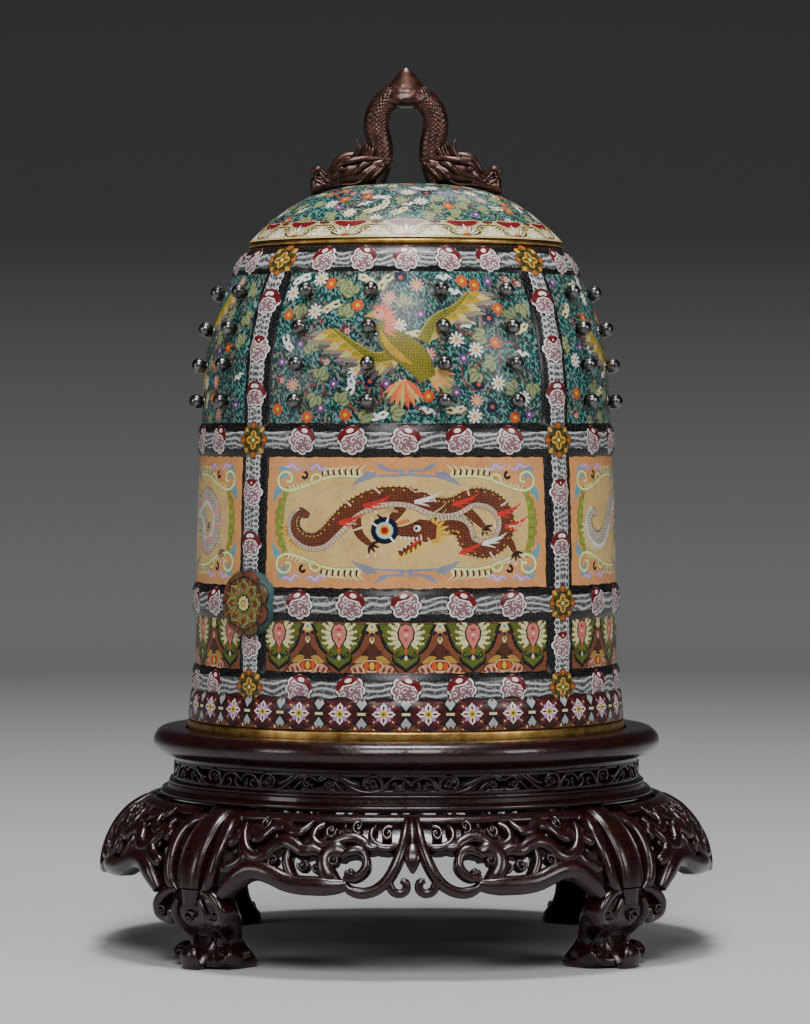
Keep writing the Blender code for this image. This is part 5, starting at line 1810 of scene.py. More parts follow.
def draw_lid_border():
    count = 120
    for inwards, colour, kind in ((BORDER + 0.5, BLACK, PLAIN), (BORDER, srgb(186, 172, 118), MOTTLED)):
        outer, inner = circle(LID_SPAN * 1.01, count), circle(LID_SPAN - inwards, count)
        for i in range(count):
            j = (i + 1) % count
            paint([outer[i], outer[j], inner[j], inner[i]], colour, kind)
    half = UNIT_HALF
    for unit in range(LID_UNITS):
        for sign in (-1, 1):
            def at(points):
                return on_rim([(sign * along, inwards) for along, inwards in points], unit)
            # cream blossom halves between two units
            for k in range(5):
                petal = leaf(half, 2.6, 7.6 - 0.5 * abs(k - 2), 2.6, math.pi * (0.95 - 0.22 * k), 0.6)
                paint(at(petal), CREAM if k % 2 else WHITE)
            wave = [
                (half, 10.4), (half - 4, 11.0), (half - 7.0, 8.4), (half - 6.6, 4.4), (half - 10.6, 2.0),
            ]
            ribbon(at(smooth_path(wave, 5)), 0.75, BLACK)
            for k in range(5):
                turn = math.pi * (0.95 - 0.22 * k)
                spot = on_rim([(sign * (half + 4.0 * math.cos(turn)), 2.6 + 4.0 * math.sin(turn))], unit)[0]
                paint(oval(*spot, 1.1, 1.1, 0, 5), OLIVE)
            ribbon(at(curl_path(half - 4.4, 7.8, 1.6, 0.4, 0.9, 7)), 0.8, BLACK)
            ribbon(at(curl_path(half - 8.6, 3.6, 1.3, 2.4, -0.9, 7)), 0.8, BLACK)
            paint(at([(half, 15), (half - 3.4, 14.6), (half - 2.2, 12.2), (half, 11.4)]), DEEP_GREEN)
            paint(at(leaf(half, 12.6, 2.6, 1.6, math.pi, 0.6)), ORANGE)

        def straight(points):
            return on_rim(points, unit)

        crescent = smooth_path(
            [
                (-8.6, 13.6), (-6.6, 15.4), (0, 14.6), (6.6, 15.4), (8.6, 13.6), (4.6, 10.4), (0, 9.4),
                (-4.6, 10.4), (-8.6, 13.6),
            ],
            3,
        )[:-1]
        paint(straight(grown(crescent, 0.8)), BLACK)
        paint(straight(grown(crescent, 0.45)), CREAM)
        paint(straight(crescent), srgb(112, 26, 32), MOTTLED)
        for k in range(7):
            turn = math.pi / 2 + (k - 3) * 0.42
            length = 9.4 - 0.9 * abs(k - 3)
            paint(straight(leaf(0, 2.4, length + 0.9, 2.9, turn, 0.55)), BLACK)
            paint(straight(leaf(0, 2.6, length, 2.1, turn, 0.55)), WHITE if k % 2 else CREAM)
        paint(straight(oval(0, 2.4, 4.2, 2.6, 0, 10)), BLACK)
        paint(straight(oval(0, 2.4, 3.0, 1.7, 0, 10)), ORANGE)
        paint(straight(leaf(0, 3.8, 3.0, 1.6, math.pi / 2)), YELLOW)


def draw_lid():
    shapes.clear()
    random.seed(23)
    reach = LID_SPAN - BORDER
    for _ in range(26):
        radius, turn = reach * math.sqrt(random.random()), random.uniform(0, 2 * math.pi)
        x, y = radius * math.cos(turn), radius * math.sin(turn)
        paint(lobed_ring(x, y, random.uniform(4, 8), 5, 0.4, turn, 4), GREY_TEAL, LEAFY)
    for _ in range(200):
        radius, lean = reach * math.sqrt(random.uniform(0.1, 1)), random.uniform(0, 2 * math.pi)
        x, y = radius * math.cos(lean * 7), radius * math.sin(lean * 7)
        for k in range(3):
            spot = (x + 1.5 * (k - 1) + random.uniform(-0.4, 0.4), y + random.uniform(-1.2, 1.2))
            paint(
                sliver(*spot, random.uniform(1.6, 2.7), 0.85, lean + (k - 1) * 0.75),
                LEAF_GREEN if k else DEEP_GREEN,
            )
    for k in range(14):
        turn = k * 2 * math.pi / 14 + 0.2
        radius = reach * (0.78 if k % 2 else 0.5)
        x, y = radius * math.cos(turn), radius * math.sin(turn)
        winding = 1.15 if k % 3 else -1.15
        ribbon(curl_path(x, y, 8.5, turn, winding, 20, 0.3), 0.75, VINE_RED)
    scatter_flowers(-reach, reach, reach + 3, 7.0, (), False)
    draw_lid_border()


# %% Cutting and closing the lid
def lid_rings():
    lines = []
    for span in [6, 14, 24, 34, 44, 52, 58, 63, 67, 71, 75, 78, 81, 84, 87]:
        if span > LID_SPAN - 1:
            continue
        ring = circle(span, 96 if span > 30 else 48)
        lines += list(zip(ring, ring[1:] + ring[:1]))
    return lines


draw_lid()
RIM_POINTS = 144
inner_rim = LID_SPAN * math.cos(math.pi / RIM_POINTS)
flat, triangles, finish = cut_cells(
    circle(LID_SPAN, RIM_POINTS), lid_rings(), (TEAL, LEAFY, 0.0),
    lambda x, y: math.hypot(x, y) < inner_rim,
)
lid_skin = bmesh.new()
lid_mesh = enamel_mesh("lid_enamel", flat, triangles, finish, laid_on_lid)
lid_skin.from_mesh(lid_mesh)
bmesh.ops.remove_doubles(lid_skin, verts=lid_skin.verts, dist=0.00001)
FLANGE_OUTER, FLANGE_INNER, FLANGE_LOW = 74.0, 72.4, MOUTH - 8
edge = [e for e in lid_skin.edges if e.is_boundary]
edge = drawn_in(
    lid_skin, edge, [(MOUTH_RADIUS, LID_BASE), (FLANGE_OUTER, LID_BASE), (FLANGE_OUTER, FLANGE_LOW)],
    GOLD_WIRE, 1.0,
)
edge = drawn_in(lid_skin, edge, [(FLANGE_INNER, FLANGE_LOW)], GOLD_WIRE, 1.0)
under = [(radius, lid_height(radius, LID_WALL)) for radius in (FLANGE_INNER, 62, 50, 35, 18)]
edge = drawn_in(lid_skin, edge, under, INSIDE_BLUE, 0.0)
closed_to_pole(lid_skin, edge, lid_height(0, LID_WALL), INSIDE_BLUE, 0.0)
bmesh.ops.recalc_face_normals(lid_skin, faces=lid_skin.faces)
lid = finished_piece(smoothed(lid_skin, lid_mesh), "lid_enamel", enamel, "enamel", "lid_dome")
print("lid:", triangle_count(lid), "triangles")

# %% [markdown]
# ## Metal balls
#
# Each upper panel carries four rows of four balls on short stems, like the bosses of a temple
# bell. One is made from a ball and a stem, then copied to every place and leaned to stand
# square on the wall there.

# %% One ball on its stem
def one_stud():
    bpy.ops.object.select_all(action="DESELECT")
    bpy.ops.mesh.primitive_uv_sphere_add(
        segments=16, ring_count=10, radius=3.7 * MM, location=(0, 0, 4.0 * MM),
    )
    ball = bpy.context.object
    bpy.ops.object.mode_set(mode="EDIT")
    bpy.ops.mesh.select_all(action="SELECT")
    bpy.ops.transform.resize(value=(1, 1, 0.94), center_override=(0, 0, 4.0 * MM))
    bpy.ops.mesh.select_all(action="DESELECT")
    bpy.ops.mesh.primitive_circle_add(vertices=16, radius=2.9 * MM, location=(0, 0, 0), fill_type="NGON")
    for lift, size in ((0.5, 0.97), (0.4, 0.62), (0.8, 1.0)):
        bpy.ops.mesh.extrude_region_move(TRANSFORM_OT_translate={"value": (0, 0, lift * MM)})
        bpy.ops.transform.resize(value=(size, size, 1), center_override=(0, 0, 0))
    bpy.ops.mesh.select_all(action="SELECT")
    bpy.ops.mesh.normals_make_consistent(inside=False)
    bpy.ops.object.mode_set(mode="OBJECT")
    return ball


STUD_SUNK = 0.15
stud = one_stud()
studs_mesh = bmesh.new()
for side in range(4):
    for turn in STUD_TURNS:
        for z in STUD_HEIGHTS:
            azimuth = side * math.pi / 2 + turn
            slope = (wall_radius(z + 1) - wall_radius(z - 1)) / 2
            out = Vector((math.sin(azimuth), -math.cos(azimuth), -slope)).normalized()
            root = Vector((wall_radius(z) * math.sin(azimuth), -wall_radius(z) * math.cos(azimuth), z)) * MM
            start = len(studs_mesh.verts)
            studs_mesh.from_mesh(stud.data)
            studs_mesh.verts.ensure_lookup_table()
            lean = out.to_track_quat("Z", "Y").to_matrix().to_4x4()
            seat = Matrix.Translation(root) @ lean @ Matrix.Translation((0, 0, -STUD_SUNK * MM))
            bmesh.ops.transform(studs_mesh, matrix=seat @ stud.matrix_world, verts=studs_mesh.verts[start:])
bpy.data.objects.remove(stud, do_unlink=True)
mesh = smoothed(studs_mesh, bpy.data.meshes.new("stud_balls"))
studs = finished_piece(mesh, "stud_balls", oxidised, "bronze", "vessel_body")
print("balls:", triangle_count(studs), "triangles")

# %% [markdown]
# ## Striking bosses
#
# Two lotus discs stand out where a real bell would be struck. Each is a shallow cushion with a
# scalloped edge. Its petals are drawn as the other enamel is, and the height of every point
# comes from one formula, so the petals bulge and the edge falls away.

# %% The lotus
BOSS_RADIUS = 16.4
BOSS_PROUD = 5.6
BOSS_LOBES = 8
BOSS_SIDE = srgb(58, 88, 90)


def draw_lotus():
    shapes.clear()
    paint(oval(0, 0, 40, 40, 0, 24), srgb(84, 44, 38), MOTTLED)
    for k in range(8):
        turn = (k + 0.5) * math.pi / 4
        outer = oval(13.0 * math.cos(turn), 13.0 * math.sin(turn), 6.4, 9.6, turn, 12)
        paint(grown(outer, 0.5), BLACK)
        paint(outer, srgb(104, 60, 44) if k % 2 else srgb(92, 74, 42), MOTTLED)
        vein = [(reach * math.cos(turn), reach * math.sin(turn)) for reach in (11.0, 15.2)]
        ribbon(vein, tapering(0.7), srgb(150, 92, 60))
    paint(lobed_ring(0, 0, 13.2, 8, 0.06, 0, 4), BLACK)
    paint(lobed_ring(0, 0, 12.6, 8, 0.06, 0, 4), srgb(96, 70, 42), MOTTLED)
    for k in range(8):
        turn = (k + 0.5) * math.pi / 4
        vein = [(reach * math.cos(turn), reach * math.sin(turn)) for reach in (6.5, 12.0)]
        ribbon(vein, 0.5, srgb(176, 160, 120))
        paint(leaf(8 * math.cos(turn), 8 * math.sin(turn), 3.6, 2.0, turn), srgb(150, 92, 48))
    for k in range(8):
        turn = k * math.pi / 4
        start = (3.0 * math.cos(turn), 3.0 * math.sin(turn))
        paint(leaf(*start, 9.7, 6.8, turn, 0.72), BLACK)
        paint(leaf(*start, 9.1, 6.0, turn, 0.72), srgb(176, 170, 104))
        paint(leaf(*start, 8.7, 5.3, turn, 0.72), srgb(92, 104, 50), MOTTLED)
        mid = (5.2 * math.cos(turn), 5.2 * math.sin(turn))
        paint(leaf(*mid, 5.2, 3.0, turn, 0.62), srgb(112, 44, 32), MOTTLED)
        paint(leaf(*mid, 2.6, 1.0, turn, 0.6), srgb(170, 110, 70))
    paint(oval(0, 0, 8.6, 8.6, 0, 20), BLACK)
    paint(lobed_ring(0, 0, 3.9, 10, 0.3, 0, 3), srgb(206, 188, 110))
    paint(oval(0, 0, 3.6, 3.6, 0, 12), srgb(120, 112, 60))
    paint(lobed_ring(0, 0, 1.3, 6, 0.3, 0, 3), PINK)


def lotus_height(x, y):
    """How far the face stands out, in millimetres: petals bulge and the rim falls away."""
    radius, turn = math.hypot(x, y), math.atan2(y, x)
    if radius > 13.6:
        bead = 0.5 * abs(math.cos(turn * 8)) * math.sin(math.pi * min(1, (radius - 13.6) / 2.8))
        return -0.9 - 1.4 * ((radius - 13.6) / 2.8) ** 2 + bead
    petal = max(0.0, math.cos(turn * 8)) ** 0.5 * math.sin(math.pi * max(0, min(1, (radius - 3) / 10.4)))
    heart = 0.5 * math.sqrt(max(0, 1 - (radius / 4.3) ** 2))
    return -0.9 + 0.85 * petal + heart


def lotus_mesh(azimuth):
    draw_lotus()
    count = BOSS_LOBES * 12
    edge_ring = []
    for i in range(count):
        turn = 2 * math.pi * i / count
        radius = BOSS_RADIUS * (0.93 + 0.065 * abs(math.sin(turn * BOSS_LOBES / 2)) ** 0.7)
        edge_ring.append((radius * math.cos(turn), radius * math.sin(turn)))
    lines = []
    for radius in (1.5, 3, 4.3, 6, 8, 10, 12, 13.6, 14.6):
        ring = circle(radius, 64)
        lines += list(zip(ring, ring[1:] + ring[:1]))
    border = [Vector(point) for point in edge_ring]

    def inside(x, y):
        turn = math.atan2(y, x) % (2 * math.pi)
        index = int(turn / (2 * math.pi) * count) % count
        a, b = border[index], border[(index + 1) % count]
        return (b.x - a.x) * (y - a.y) - (b.y - a.y) * (x - a.x) > 0

    flat, triangles, finish = cut_cells(edge_ring, lines, (BLACK, PLAIN, 0.0), inside)
    front = wall_radius(LOWER_RIB) + BOSS_PROUD + 0.9

    def place(x, y):
        out = front + lotus_height(x, y)
        return (
            (out * math.sin(azimuth) + x * math.cos(azimuth)) * MM,
            (-out * math.cos(azimuth) + x * math.sin(azimuth)) * MM,
            (LOWER_RIB + y) * MM,
        )

    mesh = enamel_mesh("lotus", flat, triangles, finish, place)
    boss = bmesh.new()
    boss.from_mesh(mesh)
    bmesh.ops.remove_doubles(boss, verts=boss.verts, dist=0.00001)
    open_edges = [e for e in boss.edges if e.is_boundary]
    for back, tint in ((0.4 * MM, BLACK), (2.8 * MM, BOSS_SIDE), (2.8 * MM, BOSS_SIDE)):
        made = bmesh.ops.extrude_edge_only(boss, edges=open_edges)["geom"]
        for part in made:
            if isinstance(part, bmesh.types.BMVert):
                part.co.x -= back * math.sin(azimuth)
                part.co.y += back * math.cos(azimuth)
            if isinstance(part, bmesh.types.BMFace):
                tinted(boss, part, tint, 0.0)
        open_edges = [part for part in made if isinstance(part, bmesh.types.BMEdge)]
    made = bmesh.ops.holes_fill(boss, edges=open_edges)["faces"]
    for face in made:
        tinted(boss, face, BOSS_SIDE, 0.0)
    bmesh.ops.triangulate(boss, faces=made)
    bmesh.ops.recalc_face_normals(boss, faces=boss.faces)
    return smoothed(boss, mesh)


for name, azimuth in (("striking_boss_front", -math.pi / 4), ("striking_boss_back", 3 * math.pi / 4)):
    lotus = finished_piece(lotus_mesh(azimuth), "lotus_" + name.split("_")[-1], enamel, "enamel", name)
    print(lotus.name, triangle_count(lotus), "triangles")

# %% [markdown]
# ## The handle
#
# Two dragon necks rise from the lid and join in an arch under a flaming jewel, with a head at
# each foot. The necks are a tube whose surface lifts into overlapping scales by a formula,
# because hundreds of scales are quicker to grow than to place. The heads are lofted along the
# snout, and the lips, brows, horns and whiskers are tapered tubes laid on them.

# %% Tubes and lofts
def join_rings(target, rings):
    """Joins every ring of points to the next one with faces."""
    around = len(rings[0])
    for lower, upper in zip(rings, rings[1:]):
        for k in range(around):
            m = (k + 1) % around
            target.faces.new((lower[k], lower[m], upper[m], upper[k]))


def close_ring(target, ring, centre):
    """Closes a ring of points with triangles that meet at its centre."""
    pole = target.verts.new(centre)
    for k in range(len(ring)):
        target.faces.new((ring[k], ring[(k + 1) % len(ring)], pole))


def tube_into(target, path, radii, around=10, flat=1.0, relief=None, squash=None):
    """Adds a closed tube along points in millimetres, with a radius for each.

    Flat squeezes the section across its second axis, and relief(i, turn) lifts the surface.
    """
    points = [Vector(point) for point in path]
    rings = []
    side = Vector((0, 1, 0)) if squash is None else Vector(squash)
    for i, here in enumerate(points):
        along = (points[min(i + 1, len(points) - 1)] - points[max(i - 1, 0)]).normalized()
        second = (side - along * side.dot(along)).normalized()
        third = along.cross(second)
        ring = []
        for k in range(around):
            turn = 2 * math.pi * k / around
            reach = radii[i] + (relief(i, turn) if relief else 0.0)
            spot = here + second * (reach * flat * math.cos(turn)) + third * (reach * math.sin(turn))
            ring.append(target.verts.new(spot * MM))
        rings.append(ring)
    join_rings(target, rings)
    close_ring(target, rings[0], points[0] * MM)
    close_ring(target, rings[-1], points[-1] * MM)


def ball_into(target, place, radius, stretch=(1, 1, 1), detail=2):
    made = bmesh.ops.create_icosphere(target, subdivisions=detail, radius=1.0)["verts"]
    for vertex in made:
        vertex.co = Vector(tuple((place[k] + vertex.co[k] * radius * stretch[k]) * MM for k in range(3)))


def curved(points, steps=6):
    """A smooth line through points in space."""
    path = []
    padded = [points[0]] + list(points) + [points[-1]]
    for a, b, c, d in zip(padded, padded[1:], padded[2:], padded[3:]):
        a, b, c, d = Vector(a), Vector(b), Vector(c), Vector(d)
        for i in range(steps):
            t = i / steps
            path.append(smooth_between(a, b, c, d, t))
    path.append(Vector(points[-1]))
    return path


def fading(count, start, end, swell=0.0):
    """Radii that run from one size to another, with an optional swell in the middle."""
    return [
        start + (end - start) * i / (count - 1) + swell * math.sin(math.pi * i / (count - 1))
        for i in range(count)
    ]


def finished_carving(target, name, finish, slot, angle, *nodes):
    bmesh.ops.recalc_face_normals(target, faces=target.faces)
    mesh = smoothed(target, bpy.data.meshes.new(name), angle)
    piece = finished_piece(mesh, name, finish, slot, *nodes)
    print(name, triangle_count(piece), "triangles")


# %% The scaled necks
LID_TOP = LID_BASE + LID_RISE
ARCH_RADIUS = 14.8
ARCH_SPRING = LID_TOP + 30.0
NECK_RADIUS = 6.2
handle = bmesh.new()
left_neck = [
    (-16.4, 0, LID_TOP + 2.5), (-14.2, 0, LID_TOP + 8), (-12.9, 0, LID_TOP + 14), (-13.1, 0, LID_TOP + 20),
    (-14.5, 0, LID_TOP + 26),
]
over = [
    (-ARCH_RADIUS * math.cos(t), 0, ARCH_SPRING + ARCH_RADIUS * math.sin(t))
    for t in [math.pi * k / 10 for k in range(11)]
]
right_neck = [(-x, y, z) for x, y, z in reversed(left_neck)]
spine = curved(left_neck + over + right_neck, 10)
scale_rows = 2.3
travelled = [0.0]
for a, b in zip(spine, spine[1:]):
    travelled.append(travelled[-1] + (b - a).length)
half_way = travelled[-1] / 2


def scales(i, turn):
    """A net of pointed scales, eight pairs of them round the neck."""
    climb = math.pi * abs(travelled[i] - half_way) / scale_rows
    net = math.sin(8 * turn + climb) * math.sin(8 * turn - climb)
    return 0.5 * abs(net) ** 0.7 - 0.2


tube_into(handle, spine, [NECK_RADIUS] * len(spine), 96, 0.95, scales)

# %% The jewel over the arch
# Heights above the floor, each with the jewel's half width there
JEWEL = (
    (417.2, 4.0), (418.0, 8.8), (419.6, 12.4), (422.2, 13.0), (425.4, 11.0), (428.8, 8.5), (432.0, 6.0),
    (434.8, 3.7), (436.4, 1.9), (437.3, 0.6),
)
jewel_path = smooth_path([(z - LID_TOP, reach) for z, reach in JEWEL], 5)


def curls(i, turn):
    """Lumps like tight curls of cloud, below the plain tip."""
    up = jewel_path[i][0]
    fade = max(0.0, min(1.0, (52 - up) / 8)) * min(1.0, i / 6)
    spot = Vector((math.cos(turn) * 2.4, math.sin(turn) * 1.8, up * 0.30))
    return fade * (1.5 * abs(lumpiness(spot * 1.6)) + 0.7 * abs(lumpiness(spot * 3.4)) - 0.5)


tube_into(
    handle, [(0, 0, LID_TOP + up) for up, _ in jewel_path], [reach for _, reach in jewel_path], 64, 0.62,
    curls,
)

# %% A dragon's head
HEAD_START, HEAD_LENGTH = 6.4, 41.2
# Each section's share of the length, its low side, its high side and its half width
HEAD_SECTIONS = (
    (0.0, 11.0, 12.6, 2.6), (0.06, 7.4, 13.4, 5.6), (0.14, 3.6, 13.7, 7.8), (0.24, 0.0, 13.8, 8.9),
    (0.34, -1.9, 13.9, 9.2), (0.43, -2.6, 14.2, 9.2),
    (0.54, -2.9, 15.0, 8.8), (0.64, -3.1, 14.6, 8.0), (0.70, -3.2, 11.0, 7.2), (0.75, -3.3, 7.0, 6.6),
    (0.84, -3.4, 5.6, 6.2),
    (0.90, -3.4, 6.2, 6.2), (0.95, -3.3, 7.4, 6.0), (1.0, -2.6, 5.4, 4.2),
)


def head_at(share):
    """The head's low and high side and half width at a share of its length, between its sections."""
    for a, b in zip(HEAD_SECTIONS, HEAD_SECTIONS[1:]):
        if share <= b[0]:
            mix = (share - a[0]) / (b[0] - a[0])
            mix = mix * mix * (3 - 2 * mix)
            return [a[k] + (b[k] - a[k]) * mix for k in (1, 2, 3)]
    return list(HEAD_SECTIONS[-1][1:])


def dragon_head(target, side):
    def at(x, y, z):
        """A point in front of the arch's middle, over the lid's top."""
        return (side * x, y, LID_TOP - 2.6 * max(0.0, (x - 11) / 37) ** 1.5 + z)

    steps, around = 44, 36
    rings = []
    for i in range(steps + 1):
        share = i / steps
        low, high, half = head_at(share)
        middle, tall = (low + high) / 2, (high - low) / 2
        ring = []
        for k in range(around):
            turn = 2 * math.pi * k / around
            sine, cosine = math.sin(turn), math.cos(turn)
            across = half * math.copysign(abs(cosine) ** 0.8, cosine)
            up = middle + tall * math.copysign(abs(sine) ** 0.85, sine)
            lips_meet = 1.8 + 1.1 * math.sin(9 * share)
            mouth = math.exp(-(((up - lips_meet) / 0.55) ** 2)) if share > 0.45 else 0.0
            across *= 1 - 0.13 * mouth
            cheek = math.exp(-(((share - 0.32) / 0.12) ** 2) - ((up - 5) / 3.2) ** 2)
            across *= 1 + 0.10 * cheek
            ring.append(target.verts.new(Vector(at(HEAD_START + HEAD_LENGTH * share, across, up)) * MM))
        rings.append(ring)
    join_rings(target, rings)
    for ring in (rings[0], rings[-1]):
        close_ring(target, ring, sum((vertex.co for vertex in ring), Vector()) / around)

    def tube(points, start, end, swell=0.0, around=8):
        path = curved([at(*point) for point in points], 6)
        tube_into(target, path, fading(len(path), start, end, swell), around)

    for y in (-1, 1):
        # brow: a heavy fold that rises from the nape and drops in front of the eye
        tube(
            [
                (8, 3.0 * y, 12.4), (15, 6.2 * y, 12.8), (22, 8.6 * y, 12.6), (29, 8.8 * y, 11.8),
                (33.6, 7.2 * y, 10.0), (35.4, 5.6 * y, 6.6),
            ],
            0.9, 0.7, 0.8,
        )
        # lip: a wavy line from the curled nose back to the cheek
        tube(
            [
                (43.6, 4.8 * y, 8.4), (41.4, 6.4 * y, 5.8), (38.8, 6.8 * y, 2.8), (35.0, 7.4 * y, 4.6),
                (30.6, 8.8 * y, 5.0), (26.6, 9.6 * y, 6.8), (23.0, 9.4 * y, 9.0),
            ],
            0.75, 0.6, 0.15,
        )
        tube(
            [
                (46.4, 4.2 * y, 0.6), (40.0, 6.6 * y, 0.2), (33.0, 8.2 * y, 0.6), (26.0, 9.4 * y, 0.4),
                (20.0, 9.0 * y, 2.8),
            ],
            0.55, 0.5, 0.15,
        )
        # curled nostril and its whisker
        tube(
            [
                (40.6, 3.6 * y, 6.6), (43.4, 4.6 * y, 9.6), (46.2, 4.4 * y, 8.8), (46.2, 4.2 * y, 6.2),
                (44.2, 4.4 * y, 5.8),
            ],
            1.5, 0.7, 0.35,
        )
        tube(
            [(45.8, 4.8 * y, 5.4), (43.6, 6.8 * y, 3.4), (40.2, 8.0 * y, 1.6), (36.0, 8.6 * y, 2.4)], 0.55,
            0.3,
        )
        ball_into(target, at(31.8, 7.9 * y, 8.4), 1.9, (1.2, 0.8, 0.9), 3)
        ball_into(target, at(44.6, 3.6 * y, 7.4), 1.6, (1.0, 1.0, 0.9), 2)
        # ear and the folds of the cheek
        tube(
            [(26.4, 9.4 * y, 5.4), (23.4, 10.4 * y, 8.0), (20.4, 10.0 * y, 9.8), (16.6, 8.6 * y, 10.6)],
            1.0, 0.4, 1.1,
        )
        tube([(22.0, 9.4 * y, 2.4), (19.0, 9.6 * y, 5.4), (14.6, 8.6 * y, 8.6)], 0.8, 0.35, 0.8)
        tube([(17.6, 8.8 * y, 2.2), (14.2, 8.0 * y, 5.4), (10.4, 6.2 * y, 9.4)], 0.8, 0.35, 0.6)
        # horns and locks of mane behind the brow
        tube(
            [(26.5, 4.8 * y, 13.0), (24.0, 5.6 * y, 16.0), (23.4, 6.0 * y, 19.4), (24.6, 6.2 * y, 22.6)],
            2.0, 0.45, 0.2,
        )
        for lean in range(4):
            tube(
                [
                    (24.2 - 2.0 * lean, 3.2 * y + lean * 0.9 * y, 12.6),
                    (21.6 - 1.7 * lean, 4.4 * y + lean * 0.7 * y, 16.8),
                    (20.4 - 1.0 * lean, 5.0 * y + lean * 0.5 * y, 21.4 - 1.2 * lean),
                ],
                1.3, 0.3, 0.3,
            )
        for tooth in range(3):
            tube(
                [
                    (42.6 - 4.4 * tooth, (5.8 + 0.5 * tooth) * y, 3.0),
                    (42.2 - 4.4 * tooth, (6.0 + 0.5 * tooth) * y, 0.6),
                ],
                0.6, 0.15, 0.0, 6,
            )
    # crest along the middle of the snout, and the beard
    tube(
        [(20, 0, 13.4), (27, 0, 15.4), (33, 0, 14.4), (36.6, 0, 9.6), (39.8, 0, 6.4), (43.0, 0, 7.6)], 1.4,
        0.8, 0.5,
    )
    tube([(44.6, 0, -1.6), (40.0, 0, -2.6), (34.0, 0, -2.8)], 1.2, 0.8, 0.4)


for side in (-1, 1):
    dragon_head(handle, side)

# %% Fitting the heads to the lid
SEAT_GAP = 0.25
for vertex in handle.verts:
    radius = math.hypot(vertex.co.x, vertex.co.y) / MM
    floor_height = lid_height(min(radius, MOUTH_RADIUS)) + SEAT_GAP
    if vertex.co.z / MM < floor_height:
        vertex.co.z = floor_height * MM
finished_carving(handle, "bronze_dragon_handle", bronze, "bronze", 55, "dragon_handle")

# %% [markdown]
# ## The stand: turned parts
#
# The board under the vessel has a round edge over a cove, and a stepped moulding sits below the
# pierced waist. All of them are drawn in a little at eight points, like a flower. Each section
# is spun, and then one formula moves every point towards the axis by the depth of the lobe.

# %% Lobed rings
STAND_TURN = math.radians(1.2)
STAND_LOBES = 8
LOBE_DEPTH = 2.2


def lobe_inset(azimuth):
    return LOBE_DEPTH * (1 - abs(math.sin((azimuth - STAND_TURN) * STAND_LOBES / 2)) ** 0.6)


def draw_in_lobes(piece, inside):
    """Moves what is outside a radius towards the axis, most at the cusps."""
    for vertex in piece.data.vertices:
        x, y, z = vertex.co
        radius = math.hypot(x, y)
        if radius > inside * MM:
            scale = (radius - lobe_inset(math.atan2(x, -y)) * MM) / radius
            vertex.co = (x * scale, y * scale, z)


def arc(cx, cz, radius, start, end, steps):
    turns = [math.radians(start + (end - start) * k / steps) for k in range(steps + 1)]
    return [(cx + radius * math.cos(t), cz + radius * math.sin(t)) for t in turns]


STAND_HEIGHT = 108.5
SKIRT_TOP = 75.0
MOULDING_TOP = 83.5
WAIST_TOP = 93.0
top_section = [
    (0.001, SEAT), (60, SEAT), (110.2, SEAT), (110.2, 108.2), (110.5, STAND_HEIGHT), (116, STAND_HEIGHT),
]
top_section += arc(121.4, 102.5, 6.0, 84, -62, 12)
top_section += [(123.4, 96.9), (122.6, 96.1), (120.6, 95.5)]
top_section += arc(122.0, 92.9, 4.8, 128, 168, 4)
top_section += [(117, WAIST_TOP + GAP), (60, WAIST_TOP + GAP), (0.001, WAIST_TOP + GAP)]
stand_top = spun("wood_top", top_section, 256)
draw_in_lobes(stand_top, 111)
moulding_section = [(108, SKIRT_TOP + GAP), (122.4, SKIRT_TOP + GAP)] + arc(122.2, 77.2, 1.8, -80, 80, 7)
moulding_section += [(121.0, 79.2), (120.2, 79.6), (119.9, 81.4), (119.2, 81.7)]
moulding_section += arc(118.9, 82.6, 0.9, -70, 90, 5) + [(108, MOULDING_TOP)]
moulding = spun("wood_moulding", moulding_section, 256)
draw_in_lobes(moulding, 110)
for ring, node in ((stand_top, "stand_top"), (moulding, "stand_moulding")):
    only(ring)
    bpy.ops.object.shade_smooth_by_angle(angle=math.radians(38))
    settle(ring, wood, "wood", node)
    print(ring.name, triangle_count(ring), "triangles")

# %% [markdown]
# ## The stand: carved strands
#
# The waist and the aprons are pierced carving: bands of wood that curl, cross and end in little
# eyes. Each band here is a strand, a rounded bar that follows a flat line and is laid on the
# curved face of the stand. A strand has its own width, and stands more or less proud, so that
# where two cross one lies over the other, as a carver would cut them.

# %% Strands on a surface
def strand(target, path, widths, lay, proud=0.8, deep=6.0, start=1.0, end=1.0):
    """Adds a rounded bar along flat (across, up) points; lay(across, up, out) places it in space."""
    count = len(path)
    rings = []
    for i, (x, z) in enumerate(path):
        before, after = path[max(0, i - 1)], path[min(count - 1, i + 1)]
        along = Vector((after[0] - before[0], after[1] - before[1]))
        along = along.normalized() if along.length > 1e-6 else Vector((1, 0))
        share = i / (count - 1)
        half = (widths(share) if callable(widths) else widths) / 2
        half *= min(1.0, start + share * 6 * (1 - start)) * min(1.0, end + (1 - share) * 6 * (1 - end))
        left = Vector((-along.y, along.x))
        section = (
            (-1.0, -deep), (-1.0, -0.25 * half), (-0.86, 0.34 * half), (-0.5, 0.62 * half),
            (0.0, 0.72 * half),
            (0.5, 0.62 * half), (0.86, 0.34 * half), (1.0, -0.25 * half), (1.0, -deep),
        )
        rings.append([
            target.verts.new(
                Vector(lay(x + left.x * half * across, z + left.y * half * across, proud + out)) * MM
            )
            for across, out in section
        ])
    join_rings(target, rings)
    target.faces.new(rings[0])
    target.faces.new(rings[-1])


